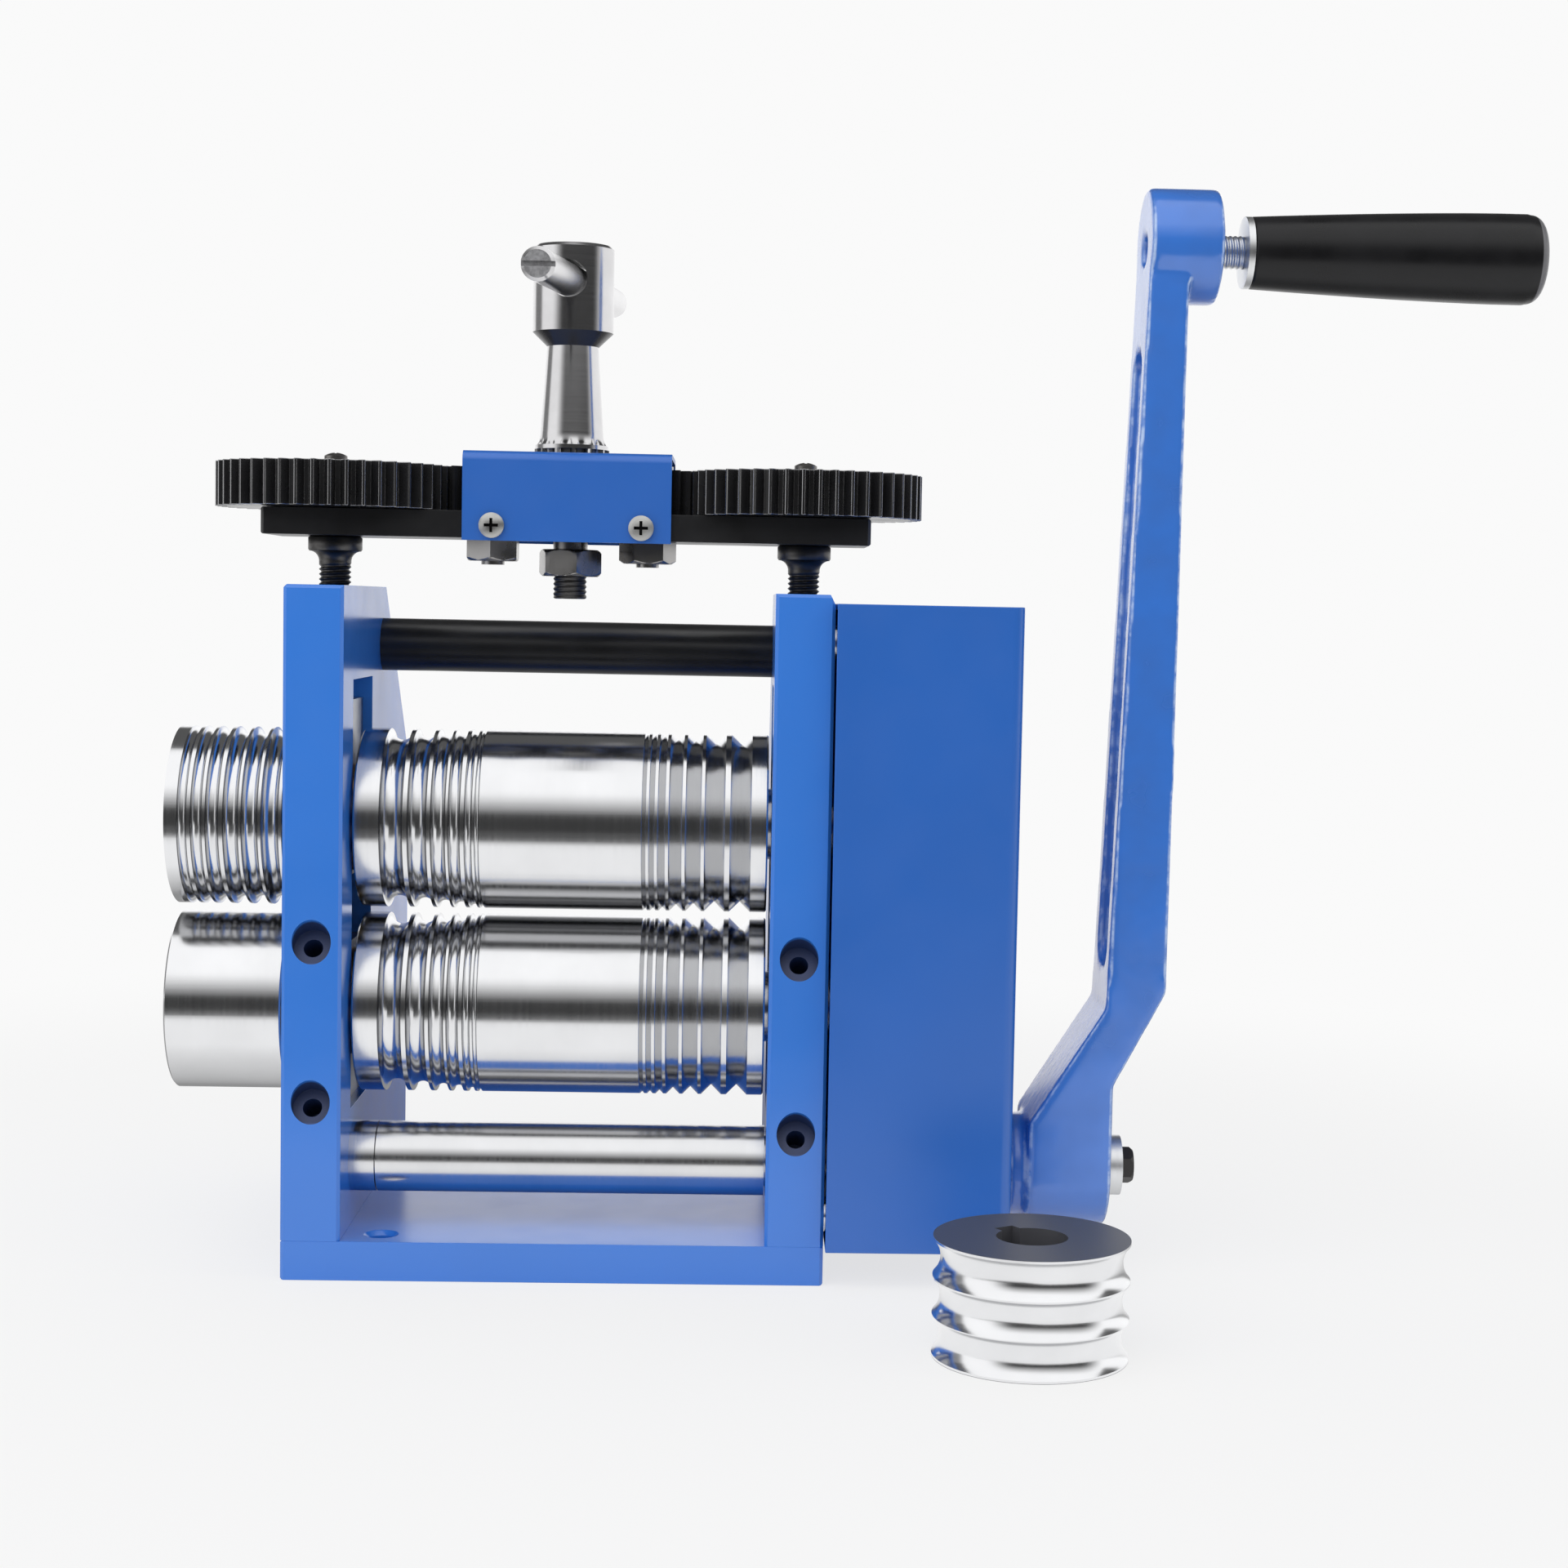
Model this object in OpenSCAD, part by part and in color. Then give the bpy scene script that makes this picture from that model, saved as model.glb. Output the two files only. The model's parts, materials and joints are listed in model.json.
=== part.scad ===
// Jewellers rolling mill: two grooved rolls in a bolted frame, hand crank, geared screw-down.
// Millimetres. X runs along the rolls, Y from front to rear, Z up.
// The origin lies under the middle of the base plate.

/* [Base and side plates] */
// Width of the base plate, and span over the side plates
base_w = 131.9; // [110:0.1:160]
// Depth of the base plate, front to rear
base_d = 121; // [90:1:160]
// Thickness of the base plate
base_t = 9.6; // [6:0.1:16]
// Thickness of each side plate
plate_t = 14.4; // [10:0.1:20]
// Height of each side plate above the base
plate_h = 158.9; // [120:0.1:200]
// Size of the slanted cut at the rear upper corner
plate_cut = 48; // [20:1:60]
// Broken edge on frame plates and bars
edge = 0.8; // [0.3:0.1:2]
// Height of the small cut at the outer top corner of the right plate
corner_drop = 2.5; // [1:0.1:5]
// Width of the bearing window in a side plate
window_w = 32.4; // [24:0.1:38]
// Height of the window floor above the bench
window_low = 39; // [30:0.5:45]
// Room above an upper bearing block for its lift
window_room = 5.5; // [5:0.1:8]
// Distance of the roll axes behind the front faces
roll_back = 32.6; // [25:0.1:40]
// Diameter of the upper tie bar
tie_d = 13.8; // [10:0.1:18]
// Distance of the upper tie bar behind the front faces
tie_back = 68.6; // [55:0.1:75]
// Height of the upper tie bar axis
tie_z = 153.4; // [145:0.1:156]
// Diameter of a bench screw hole in the base
bench_hole_d = 6.2; // [4:0.1:9]
// Diameter of the countersink of a bench screw hole
bench_sink_d = 8.4; // [7:0.1:12]
// Distance of the bench screw holes from the inner plate faces
bench_hole_in = 9; // [6:0.1:20]
// Distance of the bench screw holes from the base edges
bench_inset = 8.2; // [5:0.1:12]
// Diameter of the frame screws
frame_screw_d = 6; // [4:0.5:8]
// Length of the frame screws
frame_screw_len = 25; // [20:1:36]
// Distance of the plate screws from the rear edge
screw_inset = 18; // [12:1:30]
// Distance of the plate screws from the front edge
screw_front = 6.8; // [6.3:0.1:7.2]

/* [Oil holes] */
// Width of the slanted oil cup in a front face
oil_d = 9.4; // [6:0.1:11]
// Diameter of the slanted oil bore
oil_bore_d = 4.6; // [3:0.1:6]
// Depth of the slanted oil cup at its middle
oil_depth = 4; // [3:0.5:6]
// Length of the slanted oil bore beyond its cup
oil_reach = 11; // [8:0.5:14]
// Height of the upper oil hole of the left plate
oil_left_high = 82.7; // [70:0.1:90]
// Height of the lower oil hole of the left plate
oil_left_low = 43.7; // [30:0.1:50]
// Height of the upper oil hole of the right plate
oil_right_high = 80.3; // [70:0.1:90]
// Height of the lower oil hole of the right plate
oil_right_low = 37.4; // [30:0.1:50]

/* [Rolls] */
// Diameter of the main rolls
roll_d = 45; // [35:0.5:55]
// Gap between a roll body and a side plate
roll_end_gap = 0.85; // [0.5:0.05:2]
// Height of the lower roll axis
lower_z = 63.7; // [58:0.1:66]
// Gap between the main rolls as photographed
roll_gap = 1.7; // [0.6:0.1:3]
// Diameter of a roll journal
journal_d = 18; // [14:0.5:20]
// Diameter of the roll ends that carry gears and side rolls
seat_d = 16; // [12:0.5:17]
// How much smaller the side rolls are than the main rolls
side_less = 0.4; // [0:0.1:2]
// Length of a side roll
side_len = 28.5; // [20:0.1:40]
// Distance of a side roll from the left plate
side_off = 2; // [1:0.1:4]
// Depth of the recess in the outer end of a side roll
side_face_cut = 3.6; // [2:0.1:5]
// Diameter of the recessed end disc of a side roll
side_washer_d = 22; // [18:0.5:26]
// Width and height of the keys
key_w = 5; // [3:0.5:6]
// Broken edge at the roll ends
groove_mouth = 0.4; // [0.2:0.1:0.8]

/* [Bearings] */
// Thickness of a bearing block along the rolls
block_t = 12; // [9:0.5:14]
// Height of the top of a lower bearing block
lower_block_top = 79; // [75:0.5:82]
// Depth of an upper bearing block below the roll axis
upper_block_under = 14.6; // [13.5:0.1:16]
// Height of an upper bearing block above the roll axis
upper_block_over = 29.6; // [20:0.1:30]
// Outer diameter of a roll bush
bush_d = 24; // [20:0.5:26]
// Diameter of the rim of a roll bush
bush_rim_d = 27; // [25:0.5:29]
// Thickness of the rim of a roll bush
bush_rim_t = 2.2; // [1:0.1:2.4]
// Outer diameter of a lift spring
spring_d = 6.5; // [5:0.1:8]
// Wire thickness of a lift spring
spring_wire_d = 1.1; // [0.7:0.1:1.5]
// Distance of a lift spring before or behind the roll axis
spring_off = 9; // [6:0.5:11]

/* [Drive] */
// Distance of the drive shaft behind the front faces
drive_back = 21.6; // [17:0.1:24]
// Diameter of the drive shaft between the plates
drive_d = 17.5; // [14:0.5:20]
// Diameter of the drive shaft journals
drive_journal_d = 13; // [10:0.5:15]
// Outer diameter of the drive shaft bushes
drive_bush_d = 17.4; // [15:0.1:19]
// Length of the bush collar beside the left plate
drive_collar = 6.3; // [4:0.1:12]
// Depth of the drive bush seat in the left plate
drive_blind = 10.5; // [8:0.5:12]
// Width of the drive pinion
pinion_w = 15; // [10:0.5:18]
// Diameter of the drive pinion hub
pinion_hub_d = 18; // [15:0.5:20]
// Tooth module of the drive pinion and the large drive gear
bull_module = 2; // [1.5:0.05:2.5]
// Width of the large drive gear
bull_w = 14; // [10:0.5:18]
// Diameter of the hub of the large drive gear
bull_hub_d = 26; // [20:0.5:30]
// Distance between the roll gears and the large drive gear
bull_off = 3; // [2:0.5:5]
// Width of the two roll gears
sync_w = 15; // [10:0.5:18]
// Distance of the roll gears from the right plate
sync_off = 3; // [1:0.5:5]
// Thinning of each tooth flank
backlash = 0.12; // [0.05:0.01:0.2]
// Diameter of the gear nuts
gear_nut_d = 24; // [20:0.5:28]
// Thickness of the gear nuts
gear_nut_t = 5; // [4:0.5:7]

/* [Gear cover] */
// Width of the gear cover along the rolls
cover_w = 45.1; // [40:0.1:50]
// Gap between the gear cover and the right plate
cover_gap = 0.4; // [0.2:0.1:1]
// How far the gear cover stands before the front faces
cover_front = 3.4; // [2.6:0.1:6]
// Depth of the gear cover
cover_d = 69; // [60:0.5:80]
// Height of the lower edge of the gear cover
cover_low = 9; // [5:0.1:12]
// Height of the top of the gear cover
cover_top = 166.4; // [155:0.1:170]
// Sheet thickness of the gear cover
sheet_t = 1.5; // [1:0.1:2]
// Outer bend radius of the gear cover
cover_r = 3; // [2:0.5:5]
// Diameter of the cover pillars
pillar_d = 8; // [6:0.5:10]
// Distance of the cover pillars from the cover edges
pillar_inset = 7.8; // [6.5:0.1:9]
// Diameter of the cover screws
cover_screw_d = 4; // [3:0.5:5]

/* [Crank] */
// Gap between the gear cover and the collar of the crank hub
hub_gap = 0.65; // [0.4:0.05:3]
// Length of the crank hub along its axis
hub_len = 20.8; // [16:0.1:26]
// Half of the crank hub depth
hub_half = 15; // [12:0.5:18]
// Diameter of the drive shaft end in the crank
hub_seat_d = 12; // [9:0.5:13]
// Diameter of the short collar on the inner hub face
hub_ring_d = 26; // [20:0.5:30]
// Length of the short collar on the inner hub face
hub_ring_t = 4.3; // [1:0.1:4.6]
// Height where the inner crank face starts to slant
bend_in_low = 39; // [30:0.1:45]
// Height where the inner crank face stops slanting
bend_in_high = 68; // [60:0.1:75]
// Height where the outer crank face starts to slant
bend_out_low = 48.9; // [40:0.1:55]
// Height where the outer crank face stops slanting
bend_out_high = 72.3; // [65:0.1:80]
// How far the inner arm face stands outside the inner hub face above the bend
arm_in_low_off = 18.4; // [14:0.1:22]
// How far the inner arm face stands outside the inner hub face at the grip
arm_in_top_off = 24.7; // [20:0.1:28]
// How far the outer arm face stands outside the outer hub face above the bend
arm_out_low_off = 12.5; // [9:0.1:16]
// How far the outer arm face stands outside the outer hub face at the grip
arm_out_top_off = 13.6; // [10:0.1:17]
// Half of the arm depth at the grip
arm_half_top = 12; // [9:0.5:15]
// Height of the grip axis with the crank upright
crank_grip_z = 254.9; // [240:0.1:270]
// Diameter of the grip boss
boss_d = 28.2; // [24:0.1:34]
// Height of the boss centre above the grip axis
boss_rise = 1; // [0:0.1:1.5]
// Length of the grip boss outside the arm
boss_len = 8.1; // [5:0.1:12]
// Height of the lower centre of the long pockets
pocket_low = 84.5; // [76:0.5:90]
// Height of the upper centre of the long pockets
pocket_top = 224; // [200:0.5:230]
// Width of the long pockets in the arm
pocket_w = 15; // [10:0.5:18]
// Depth of the long pockets in the arm
pocket_depth = 3; // [2:0.5:4]
// Diameter of the crank washer
crank_washer_d = 15; // [12:0.5:20]
// Thickness of the crank washer
crank_washer_t = 3.9; // [1.5:0.1:4.5]
// Width across the flats of the crank bolt head
crank_bolt_flats = 8; // [7:0.5:10]
// Thickness of the crank bolt head
crank_bolt_t = 3.3; // [3:0.1:5]
// Diameter of the crank bolt
crank_bolt_d = 5; // [4:0.5:6]
// Length of the crank bolt in the drive shaft
crank_bolt_len = 16; // [12:0.5:20]

/* [Grip] */
// Distance between the grip boss and the grip
grip_off = 6.7; // [4:0.1:10]
// Length of the grip
grip_len = 74; // [65:0.1:90]
// Diameter of the grip at its inner end
grip_d_in = 17.6; // [15:0.1:20]
// Greatest diameter of the grip
grip_d_out = 22.2; // [20:0.1:26]
// Diameter of the grip spindle
spindle_d = 7.6; // [6:0.1:9]
// Length of the spindle in the boss
spindle_nut = 14; // [12:0.5:16]
// Thickness of the metal disc at the inner grip end
ferrule_t = 1.6; // [1:0.1:3]
// Diameter of the end cap of the grip
cap_d = 15; // [12:0.5:18]
// Thickness of the end cap of the grip
cap_t = 1.8; // [1:0.1:3]

/* [Screw-down] */
// Height of the underside of the bridge bar
bridge_z = 180.8; // [176:0.1:184]
// Thickness of the bridge bar
bridge_t = 6.6; // [5:0.1:9]
// Length of the bridge bar beyond a pressure screw axis
bridge_end = 16.15; // [12:0.05:20]
// Depth of the bridge bar
bridge_d = 28; // [24:0.5:40]
// Thread pitch of the pressure screws
screw_pitch = 1.25; // [1:0.05:1.5]
// Diameter of the pressure screws
screw_d = 8; // [7:0.1:10]
// Diameter of the collar of a pressure screw
collar_d = 13.4; // [11:0.1:16]
// Thickness of the collar of a pressure screw
collar_t = 3.7; // [3:0.1:5]
// Height of the cone below the collar
collar_cone = 2.6; // [1.5:0.1:4]
// Diameter of a pressure screw inside the bridge bar
screw_neck_d = 10; // [9:0.1:12]
// Thickness of the adjusting gears
train_t = 11; // [8:0.1:12]
// Gap between the bridge bar and the adjusting gears
train_lift = 0.2; // [0.2:0.1:0.6]
// Head diameter of the screws on the adjusting gears
gear_screw_d = 5.7; // [5:0.1:8]
// Head height of the screws on the adjusting gears
gear_screw_t = 3; // [2:0.1:4]
// Shank diameter of the screws on the adjusting gears
gear_screw_shank = 3; // [2.5:0.1:4]
// Diameter of the intermediate gear bolts
idler_bolt_d = 8; // [6:0.1:9]
// Width across the flats of the intermediate gear bolts
idler_bolt_flats = 12.4; // [11:0.1:14]
// Head height of the intermediate gear bolts
idler_bolt_t = 5.4; // [4:0.1:7]
// Height of the round step below each idler bolt head
idler_step_t = 0.9; // [0.3:0.1:2]
// Thickness of the retaining discs above the intermediate gears
idler_disc_t = 1; // [0.8:0.1:1.4]

/* [Bridge cover] */
// Length of the bridge cover along the rolls
lid_w = 51.2; // [46:0.1:56]
// Sheet thickness of the bridge cover
lid_t = 1.2; // [0.8:0.1:1.6]
// How far the bridge cover hangs below the bar
lid_low = 0.6; // [0.2:0.1:1.5]
// Height of the bridge cover above the underside of the bar
lid_high = 21.4; // [20:0.1:24]
// Outer bend radius of the bridge cover
lid_r = 2.4; // [1.8:0.1:4]
// Distance of the cover screws from the middle plane
lid_screw_x = 18.3; // [14:0.1:21]
// Height of the bridge cover screws above the underside of the bar
lid_screw_up = 3.1; // [2.6:0.1:4]
// Head diameter of the bridge cover screws
lid_screw_d = 6.2; // [5:0.1:8]
// Head height of the bridge cover screws
lid_screw_t = 2.2; // [1.5:0.1:3]

/* [Adjusting handle] */
// Diameter of the handle head
head_d = 20.1; // [18:0.1:24]
// Height of the lower end of the handle head above the underside of the bar
head_low = 51.7; // [48:0.1:58]
// Height of the top of the handle head above the underside of the bar
head_top = 73.1; // [68:0.1:80]
// Height of the cone under the handle head
head_cone = 3.5; // [2:0.1:5]
// Diameter of the handle stem at the top
stem_d_top = 12.8; // [11:0.1:15]
// Diameter of the handle stem at the bottom
stem_d_low = 16.1; // [14:0.1:18]
// Height of the lower end of the stem above the underside of the bar
stem_low = 23.7; // [22.4:0.1:26]
// Diameter of the handle inside the bridge bar
handle_neck_d = 10; // [9:0.1:12]
// Diameter of the threaded lower end of the handle
handle_thread_d = 7.6; // [6:0.1:9]
// How far the threaded end reaches below the bar
handle_drop = 14.5; // [12:0.1:17]
// Width across the flats of the handle nut
handle_nut_flats = 14.2; // [12:0.1:16]
// Thickness of the handle nut
handle_nut_t = 6.7; // [5:0.1:8]
// Gap between the bar and the handle nut, filled by its disc
handle_nut_drop = 2.2; // [2:0.1:3]
// Diameter of the sliding cross bar
bar_d = 8; // [6:0.1:10]
// Length of the sliding cross bar
bar_len = 134; // [90:1:140]
// How far the cross bar is pushed toward the front
bar_shift = -9; // [-20:1:20]
// Diameter of the cross hole in the handle head
bar_hole_d = 9.3; // [7:0.1:11]
// Height of the cross bar above the underside of the bridge bar
bar_up = 64.2; // [58:0.1:68]
// Width and depth of the slots in the cross bar ends
bar_slot = 1.2; // [0.8:0.1:2]

/* [Spare roll] */
// Distance of the spare roll axis inside the inner hub face
spare_in = 5.9; // [5:0.1:20]
// Distance of the spare roll axis before the front faces
spare_front = 56.5; // [48:0.5:70]
// Diameter of the spare roll
spare_d = 44; // [38:0.1:48]
// Height of the spare roll
spare_h = 26.8; // [20:0.1:32]
// Depth of the hollows of the spare roll
spare_hollow = 1.7; // [1:0.1:2.5]

/* [Fits] */
// Radial clearance of turning and sliding fits
run_gap = 0.05; // [0.02:0.01:0.1]
// Radial clearance of fixed seats
seat_gap = 0.02; // [0.01:0.01:0.04]
// Clearance of an upper bearing block in its window
slide_gap = 0.1; // [0.05:0.01:0.2]
// Overrun of the cutting shapes
over = 1; // [0.5:0.5:2]

/* [Hidden] */
$fn = 48;
pressure = 20;
sync_teeth = 15;
bull_teeth = 27;
pinion_teeth = 12;
ring_teeth = 45;
idler_teeth = 18;
handle_teeth = 13;
oil_tilt = 30;
bar_turn = -4.3;
bar_tilt = 2.8;
// Grooves as shares of the roll length: centre and radius or half width
round_groove_shares = [[-0.409, 0.0284], [-0.3464, 0.0234], [-0.2961, 0.0181], [-0.2573, 0.0147],
    [-0.2238, 0.0094], [-0.203, 0.0055]];
vee_groove_shares = [[0.1992, 0.0054], [0.2184, 0.0069], [0.2421, 0.0094], [0.2756, 0.0163],
    [0.319, 0.0192], [0.3708, 0.0247], [0.4339, 0.0256]];
side_groove_shares = [[0.8491, 0.0421], [0.7263, 0.0491], [0.593, 0.0579], [0.4351, 0.0667],
    [0.2737, 0.0719], [0.1018, 0.0754]];
// Hollows of the spare roll as shares of its height: centre and half height
spare_hollow_shares = [[0.178, 0.156], [0.498, 0.154], [0.822, 0.155]];
// Grip outline: share of the length, share of the way from small to large diameter
grip_shares = [[0, 0], [0.05, 0.06], [0.2, 0.34], [0.47, 0.67], [0.74, 0.87], [0.9, 1], [0.95, 0.96],
    [0.98, 0.8], [0.993, 0.5], [1, 0.1]];
front_y = -base_d / 2;
rear_y = base_d / 2;
plate_out = base_w / 2;
plate_in = base_w / 2 - plate_t;
roll_len = base_w - 2 * plate_t - 2 * roll_end_gap;
bench_hole_x = plate_in - bench_hole_in;
frame_top = base_t + plate_h;
roll_y = front_y + roll_back;
upper_z = lower_z + roll_d + roll_gap;
drive_y = front_y + drive_back;
bull_pitch_r = bull_module * bull_teeth / 2;
pinion_pitch_r = bull_module * pinion_teeth / 2;
gear_dist = bull_pitch_r + pinion_pitch_r;
drive_z = lower_z - sqrt(pow(gear_dist, 2) - pow(roll_y - drive_y, 2));
bull_angle = atan2(drive_z - lower_z, drive_y - roll_y);
sync_in = plate_out + sync_off;
sync_out = sync_in + sync_w;
bull_in = sync_out + bull_off;
bull_out = bull_in + bull_w;
block_out = plate_out;
block_in = plate_out - block_t;
block_low = window_low;
upper_block_low = upper_z - upper_block_under;
upper_block_top = upper_z + upper_block_over;
window_top = upper_block_top + window_room;
side_d = roll_d - side_less;
sync_module = roll_d / sync_teeth;
screw_x = plate_out - plate_t / 2;
train_module = 2 * screw_x / (handle_teeth + 2 * idler_teeth + ring_teeth);
idler_x = train_module * (handle_teeth + idler_teeth) / 2;
bridge_w = 2 * (screw_x + bridge_end);
spring_h = upper_block_low - lower_block_top;
side_in = -plate_out - side_off;
side_out = side_in - side_len;
cover_in = plate_out + cover_gap;
cover_out = plate_out + cover_gap + cover_w;
cover_y0 = front_y - cover_front;
cover_y1 = cover_y0 + cover_d;
bridge_top = bridge_z + bridge_t;
train_z = bridge_top + train_lift;
train_top = train_z + train_t;
lid_top = bridge_z + lid_high;
lid_half_d = bridge_d / 2 + lid_t + seat_gap;
screw_low = upper_block_top + run_gap;
hub_in = cover_out + hub_gap + hub_ring_t;
hub_out = hub_in + hub_len;
arm_in_low = hub_in + arm_in_low_off;
arm_in_top = hub_in + arm_in_top_off;
arm_out_low = hub_out + arm_out_low_off;
arm_out_top = hub_out + arm_out_top_off;
boss_out = arm_out_top + boss_len;
grip_in = boss_out + grip_off;
grip_out = grip_in + grip_len;
spare_x = hub_in - spare_in;
stem_z = bridge_z + stem_low;
head_z = bridge_z + head_low;
head_end = bridge_z + head_top;
bar_z = bridge_z + bar_up;
spare_y = front_y - spare_front;
key_z = seat_d / 2;

// Plain shapes laid along one axis

module xcyl(d, x0, x1, y = 0, z = 0) {
    translate([x0, y, z]) rotate([0, 90, 0]) cylinder(h = x1 - x0, d = d);
}

module ycyl(d, y0, y1, x = 0, z = 0) {
    translate([x, y0, z]) rotate([-90, 0, 0]) cylinder(h = y1 - y0, d = d);
}

module zcyl(d, z0, z1, x = 0, y = 0) {
    translate([x, y, z0]) cylinder(h = z1 - z0, d = d);
}

module block(x0, x1, y0, y1, z0, z1) {
    translate([x0, y0, z0]) cube([x1 - x0, y1 - y0, z1 - z0]);
}

// Rectangle with four small corner cuts, for broken edges
module cut_rect(a0, a1, b0, b1, c) {
    polygon([[a0 + c, b0], [a1 - c, b0], [a1, b0 + c], [a1, b1 - c], [a1 - c, b1], [a0 + c, b1],
        [a0, b1 - c], [a0, b0 + c]]);
}

// Rectangle with four rounded corners
module round_rect(a0, a1, b0, b1, r) {
    union() {
        translate([a0 + r, b0]) square([a1 - a0 - 2 * r, b1 - b0]);
        translate([a0, b0 + r]) square([a1 - a0, b1 - b0 - 2 * r]);
        for (a = [a0 + r, a1 - r], b = [b0 + r, b1 - r]) translate([a, b]) circle(r = r);
    }
}

// A YZ outline extruded along X
module along_x(x0, x1) {
    translate([x0, 0, 0]) rotate([90, 0, 90]) linear_extrude(height = x1 - x0) children();
}

// An XZ outline extruded along Y
module along_y(y0, y1) {
    translate([0, y1, 0]) rotate([90, 0, 0]) linear_extrude(height = y1 - y0) children();
}

module along_z(z0, z1) {
    translate([0, 0, z0]) linear_extrude(height = z1 - z0) children();
}

// Spur gear outline with involute flanks, one tooth centred on the direction "turn"
function involute_turn(teeth, m, r) =
    let (a = acos(min(1, m * teeth / 2 * cos(pressure) / r))) tan(a) * 180 / PI - a;
function half_tooth(teeth, m, r) =
    90 / teeth - backlash / (m * teeth / 2) * 180 / PI
    + involute_turn(teeth, m, m * teeth / 2) - involute_turn(teeth, m, r);
function flank_radii(teeth, m) =
    [m * (teeth / 2 - 1.25), m * (teeth / 2 - 0.8), m * (teeth / 2 - 0.35), m * (teeth / 2 + 0.1),
        m * (teeth / 2 + 0.55), m * (teeth / 2 + 1)];

module gear_outline(teeth, m, turn = 0) {
    radii = flank_radii(teeth, m);
    n = len(radii);
    polygon([for (i = [0 : teeth - 1], s = [0 : 2 * n - 1])
        let (k = s < n ? s : 2 * n - 1 - s, side = s < n ? -1 : 1,
            a = turn + i * 360 / teeth + side * half_tooth(teeth, m, radii[k]))
        [radii[k] * cos(a), radii[k] * sin(a)]]);
}

// Base plate and side plates

module base_plate() {
    color("SteelBlue") difference() {
        intersection() {
            along_z(0, base_t) cut_rect(-plate_out, plate_out, front_y, rear_y, edge);
            along_y(front_y, rear_y) cut_rect(-plate_out, plate_out, 0, base_t, edge / 2);
        }
        for (p = [[-bench_hole_x, front_y + bench_inset], [-bench_hole_x, rear_y - bench_inset],
            [bench_hole_x, rear_y - bench_inset]]) {
            zcyl(bench_hole_d, -over, base_t + over, p[0], p[1]);
            translate([p[0], p[1], base_t - (bench_sink_d - bench_hole_d) / 2])
                cylinder(h = (bench_sink_d - bench_hole_d) / 2 + seat_gap, d1 = bench_hole_d,
                    d2 = bench_sink_d + 2 * seat_gap);
        }
        frame_screw_places() frame_screw_cut();
    }
}

module frame_screw_places() {
    for (x = [-screw_x, screw_x], y = [front_y + screw_front, rear_y - screw_inset])
        translate([x, y, 0]) children();
}

module frame_screw_cut() {
    zcyl(frame_screw_d + 2 * seat_gap, -over, frame_screw_len + seat_gap);
    translate([0, 0, -seat_gap]) cylinder(h = frame_screw_d / 2 + seat_gap,
        d1 = 2 * frame_screw_d + 2 * seat_gap, d2 = frame_screw_d);
}

// Plate outline in YZ with the slanted rear corner
module plate_outline() {
    polygon([[front_y, base_t], [rear_y, base_t], [rear_y, frame_top - plate_cut],
        [rear_y - plate_cut, frame_top], [front_y + edge, frame_top], [front_y, frame_top - edge]]);
}

module plate_blank(side) {
    intersection() {
        along_x(-plate_out, plate_out) plate_outline();
        along_z(base_t, frame_top) polygon(side < 0
            ? [[-plate_out + edge, front_y], [-plate_in - edge, front_y], [-plate_in, front_y + edge],
                [-plate_in, rear_y], [-plate_out, rear_y], [-plate_out, front_y + edge]]
            : [[plate_out - edge, front_y], [plate_in + edge, front_y], [plate_in, front_y + edge],
                [plate_in, rear_y], [plate_out, rear_y], [plate_out, front_y + edge]]);
        along_y(front_y, rear_y) polygon(
            [[-plate_out, base_t], [plate_out, base_t], [plate_out, frame_top - corner_drop],
                [plate_out - corner_drop / 2, frame_top], [-plate_out + edge, frame_top],
                [-plate_out, frame_top - edge]]);
    }
}

module plate_cuts(side, high, low) {
    x = side * screw_x;
    block(x - plate_t, x + plate_t, roll_y - window_w / 2, roll_y + window_w / 2,
        window_low, window_top);
    zcyl(screw_d + 2 * run_gap, window_top - over, frame_top + over, x, roll_y);
    for (z = [high, low]) translate([x, front_y, z]) rotate([-90 - oil_tilt, 0, 0]) {
        zcyl(oil_d, -oil_d, oil_depth);
        zcyl(oil_bore_d, 0, oil_depth + oil_reach);
    }
    frame_screw_places() frame_screw_cut();
    xcyl(frame_screw_d + 2 * seat_gap, x - plate_t, x + plate_t, front_y + tie_back, tie_z);
}

module left_side_plate() {
    color("RoyalBlue") difference() {
        plate_blank(-1);
        plate_cuts(-1, oil_left_high, oil_left_low);
        xcyl(drive_bush_d + 2 * seat_gap, -plate_in - drive_blind, -plate_in + over, drive_y, drive_z);
        translate([-plate_out - seat_gap, front_y + tie_back, tie_z]) rotate([0, 90, 0])
            cylinder(h = frame_screw_d / 2 + seat_gap, d1 = 2 * frame_screw_d + 2 * seat_gap,
                d2 = frame_screw_d);
    }
}

module right_side_plate() {
    color("RoyalBlue") difference() {
        plate_blank(1);
        plate_cuts(1, oil_right_high, oil_right_low);
        xcyl(drive_bush_d + 2 * seat_gap, plate_in - over, plate_out + over, drive_y, drive_z);
        pillar_places() xcyl(cover_screw_d + 2 * seat_gap, plate_out - plate_t * 0.28, plate_out + over);
        translate([plate_out + seat_gap, front_y + tie_back, tie_z]) rotate([0, -90, 0])
            cylinder(h = frame_screw_d / 2 + seat_gap, d1 = 2 * frame_screw_d + 2 * seat_gap,
                d2 = frame_screw_d);
    }
}

module socket_head_cut() {
    cylinder(h = frame_screw_d / 3, d = frame_screw_d * 0.66, $fn = 6);
}

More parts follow.
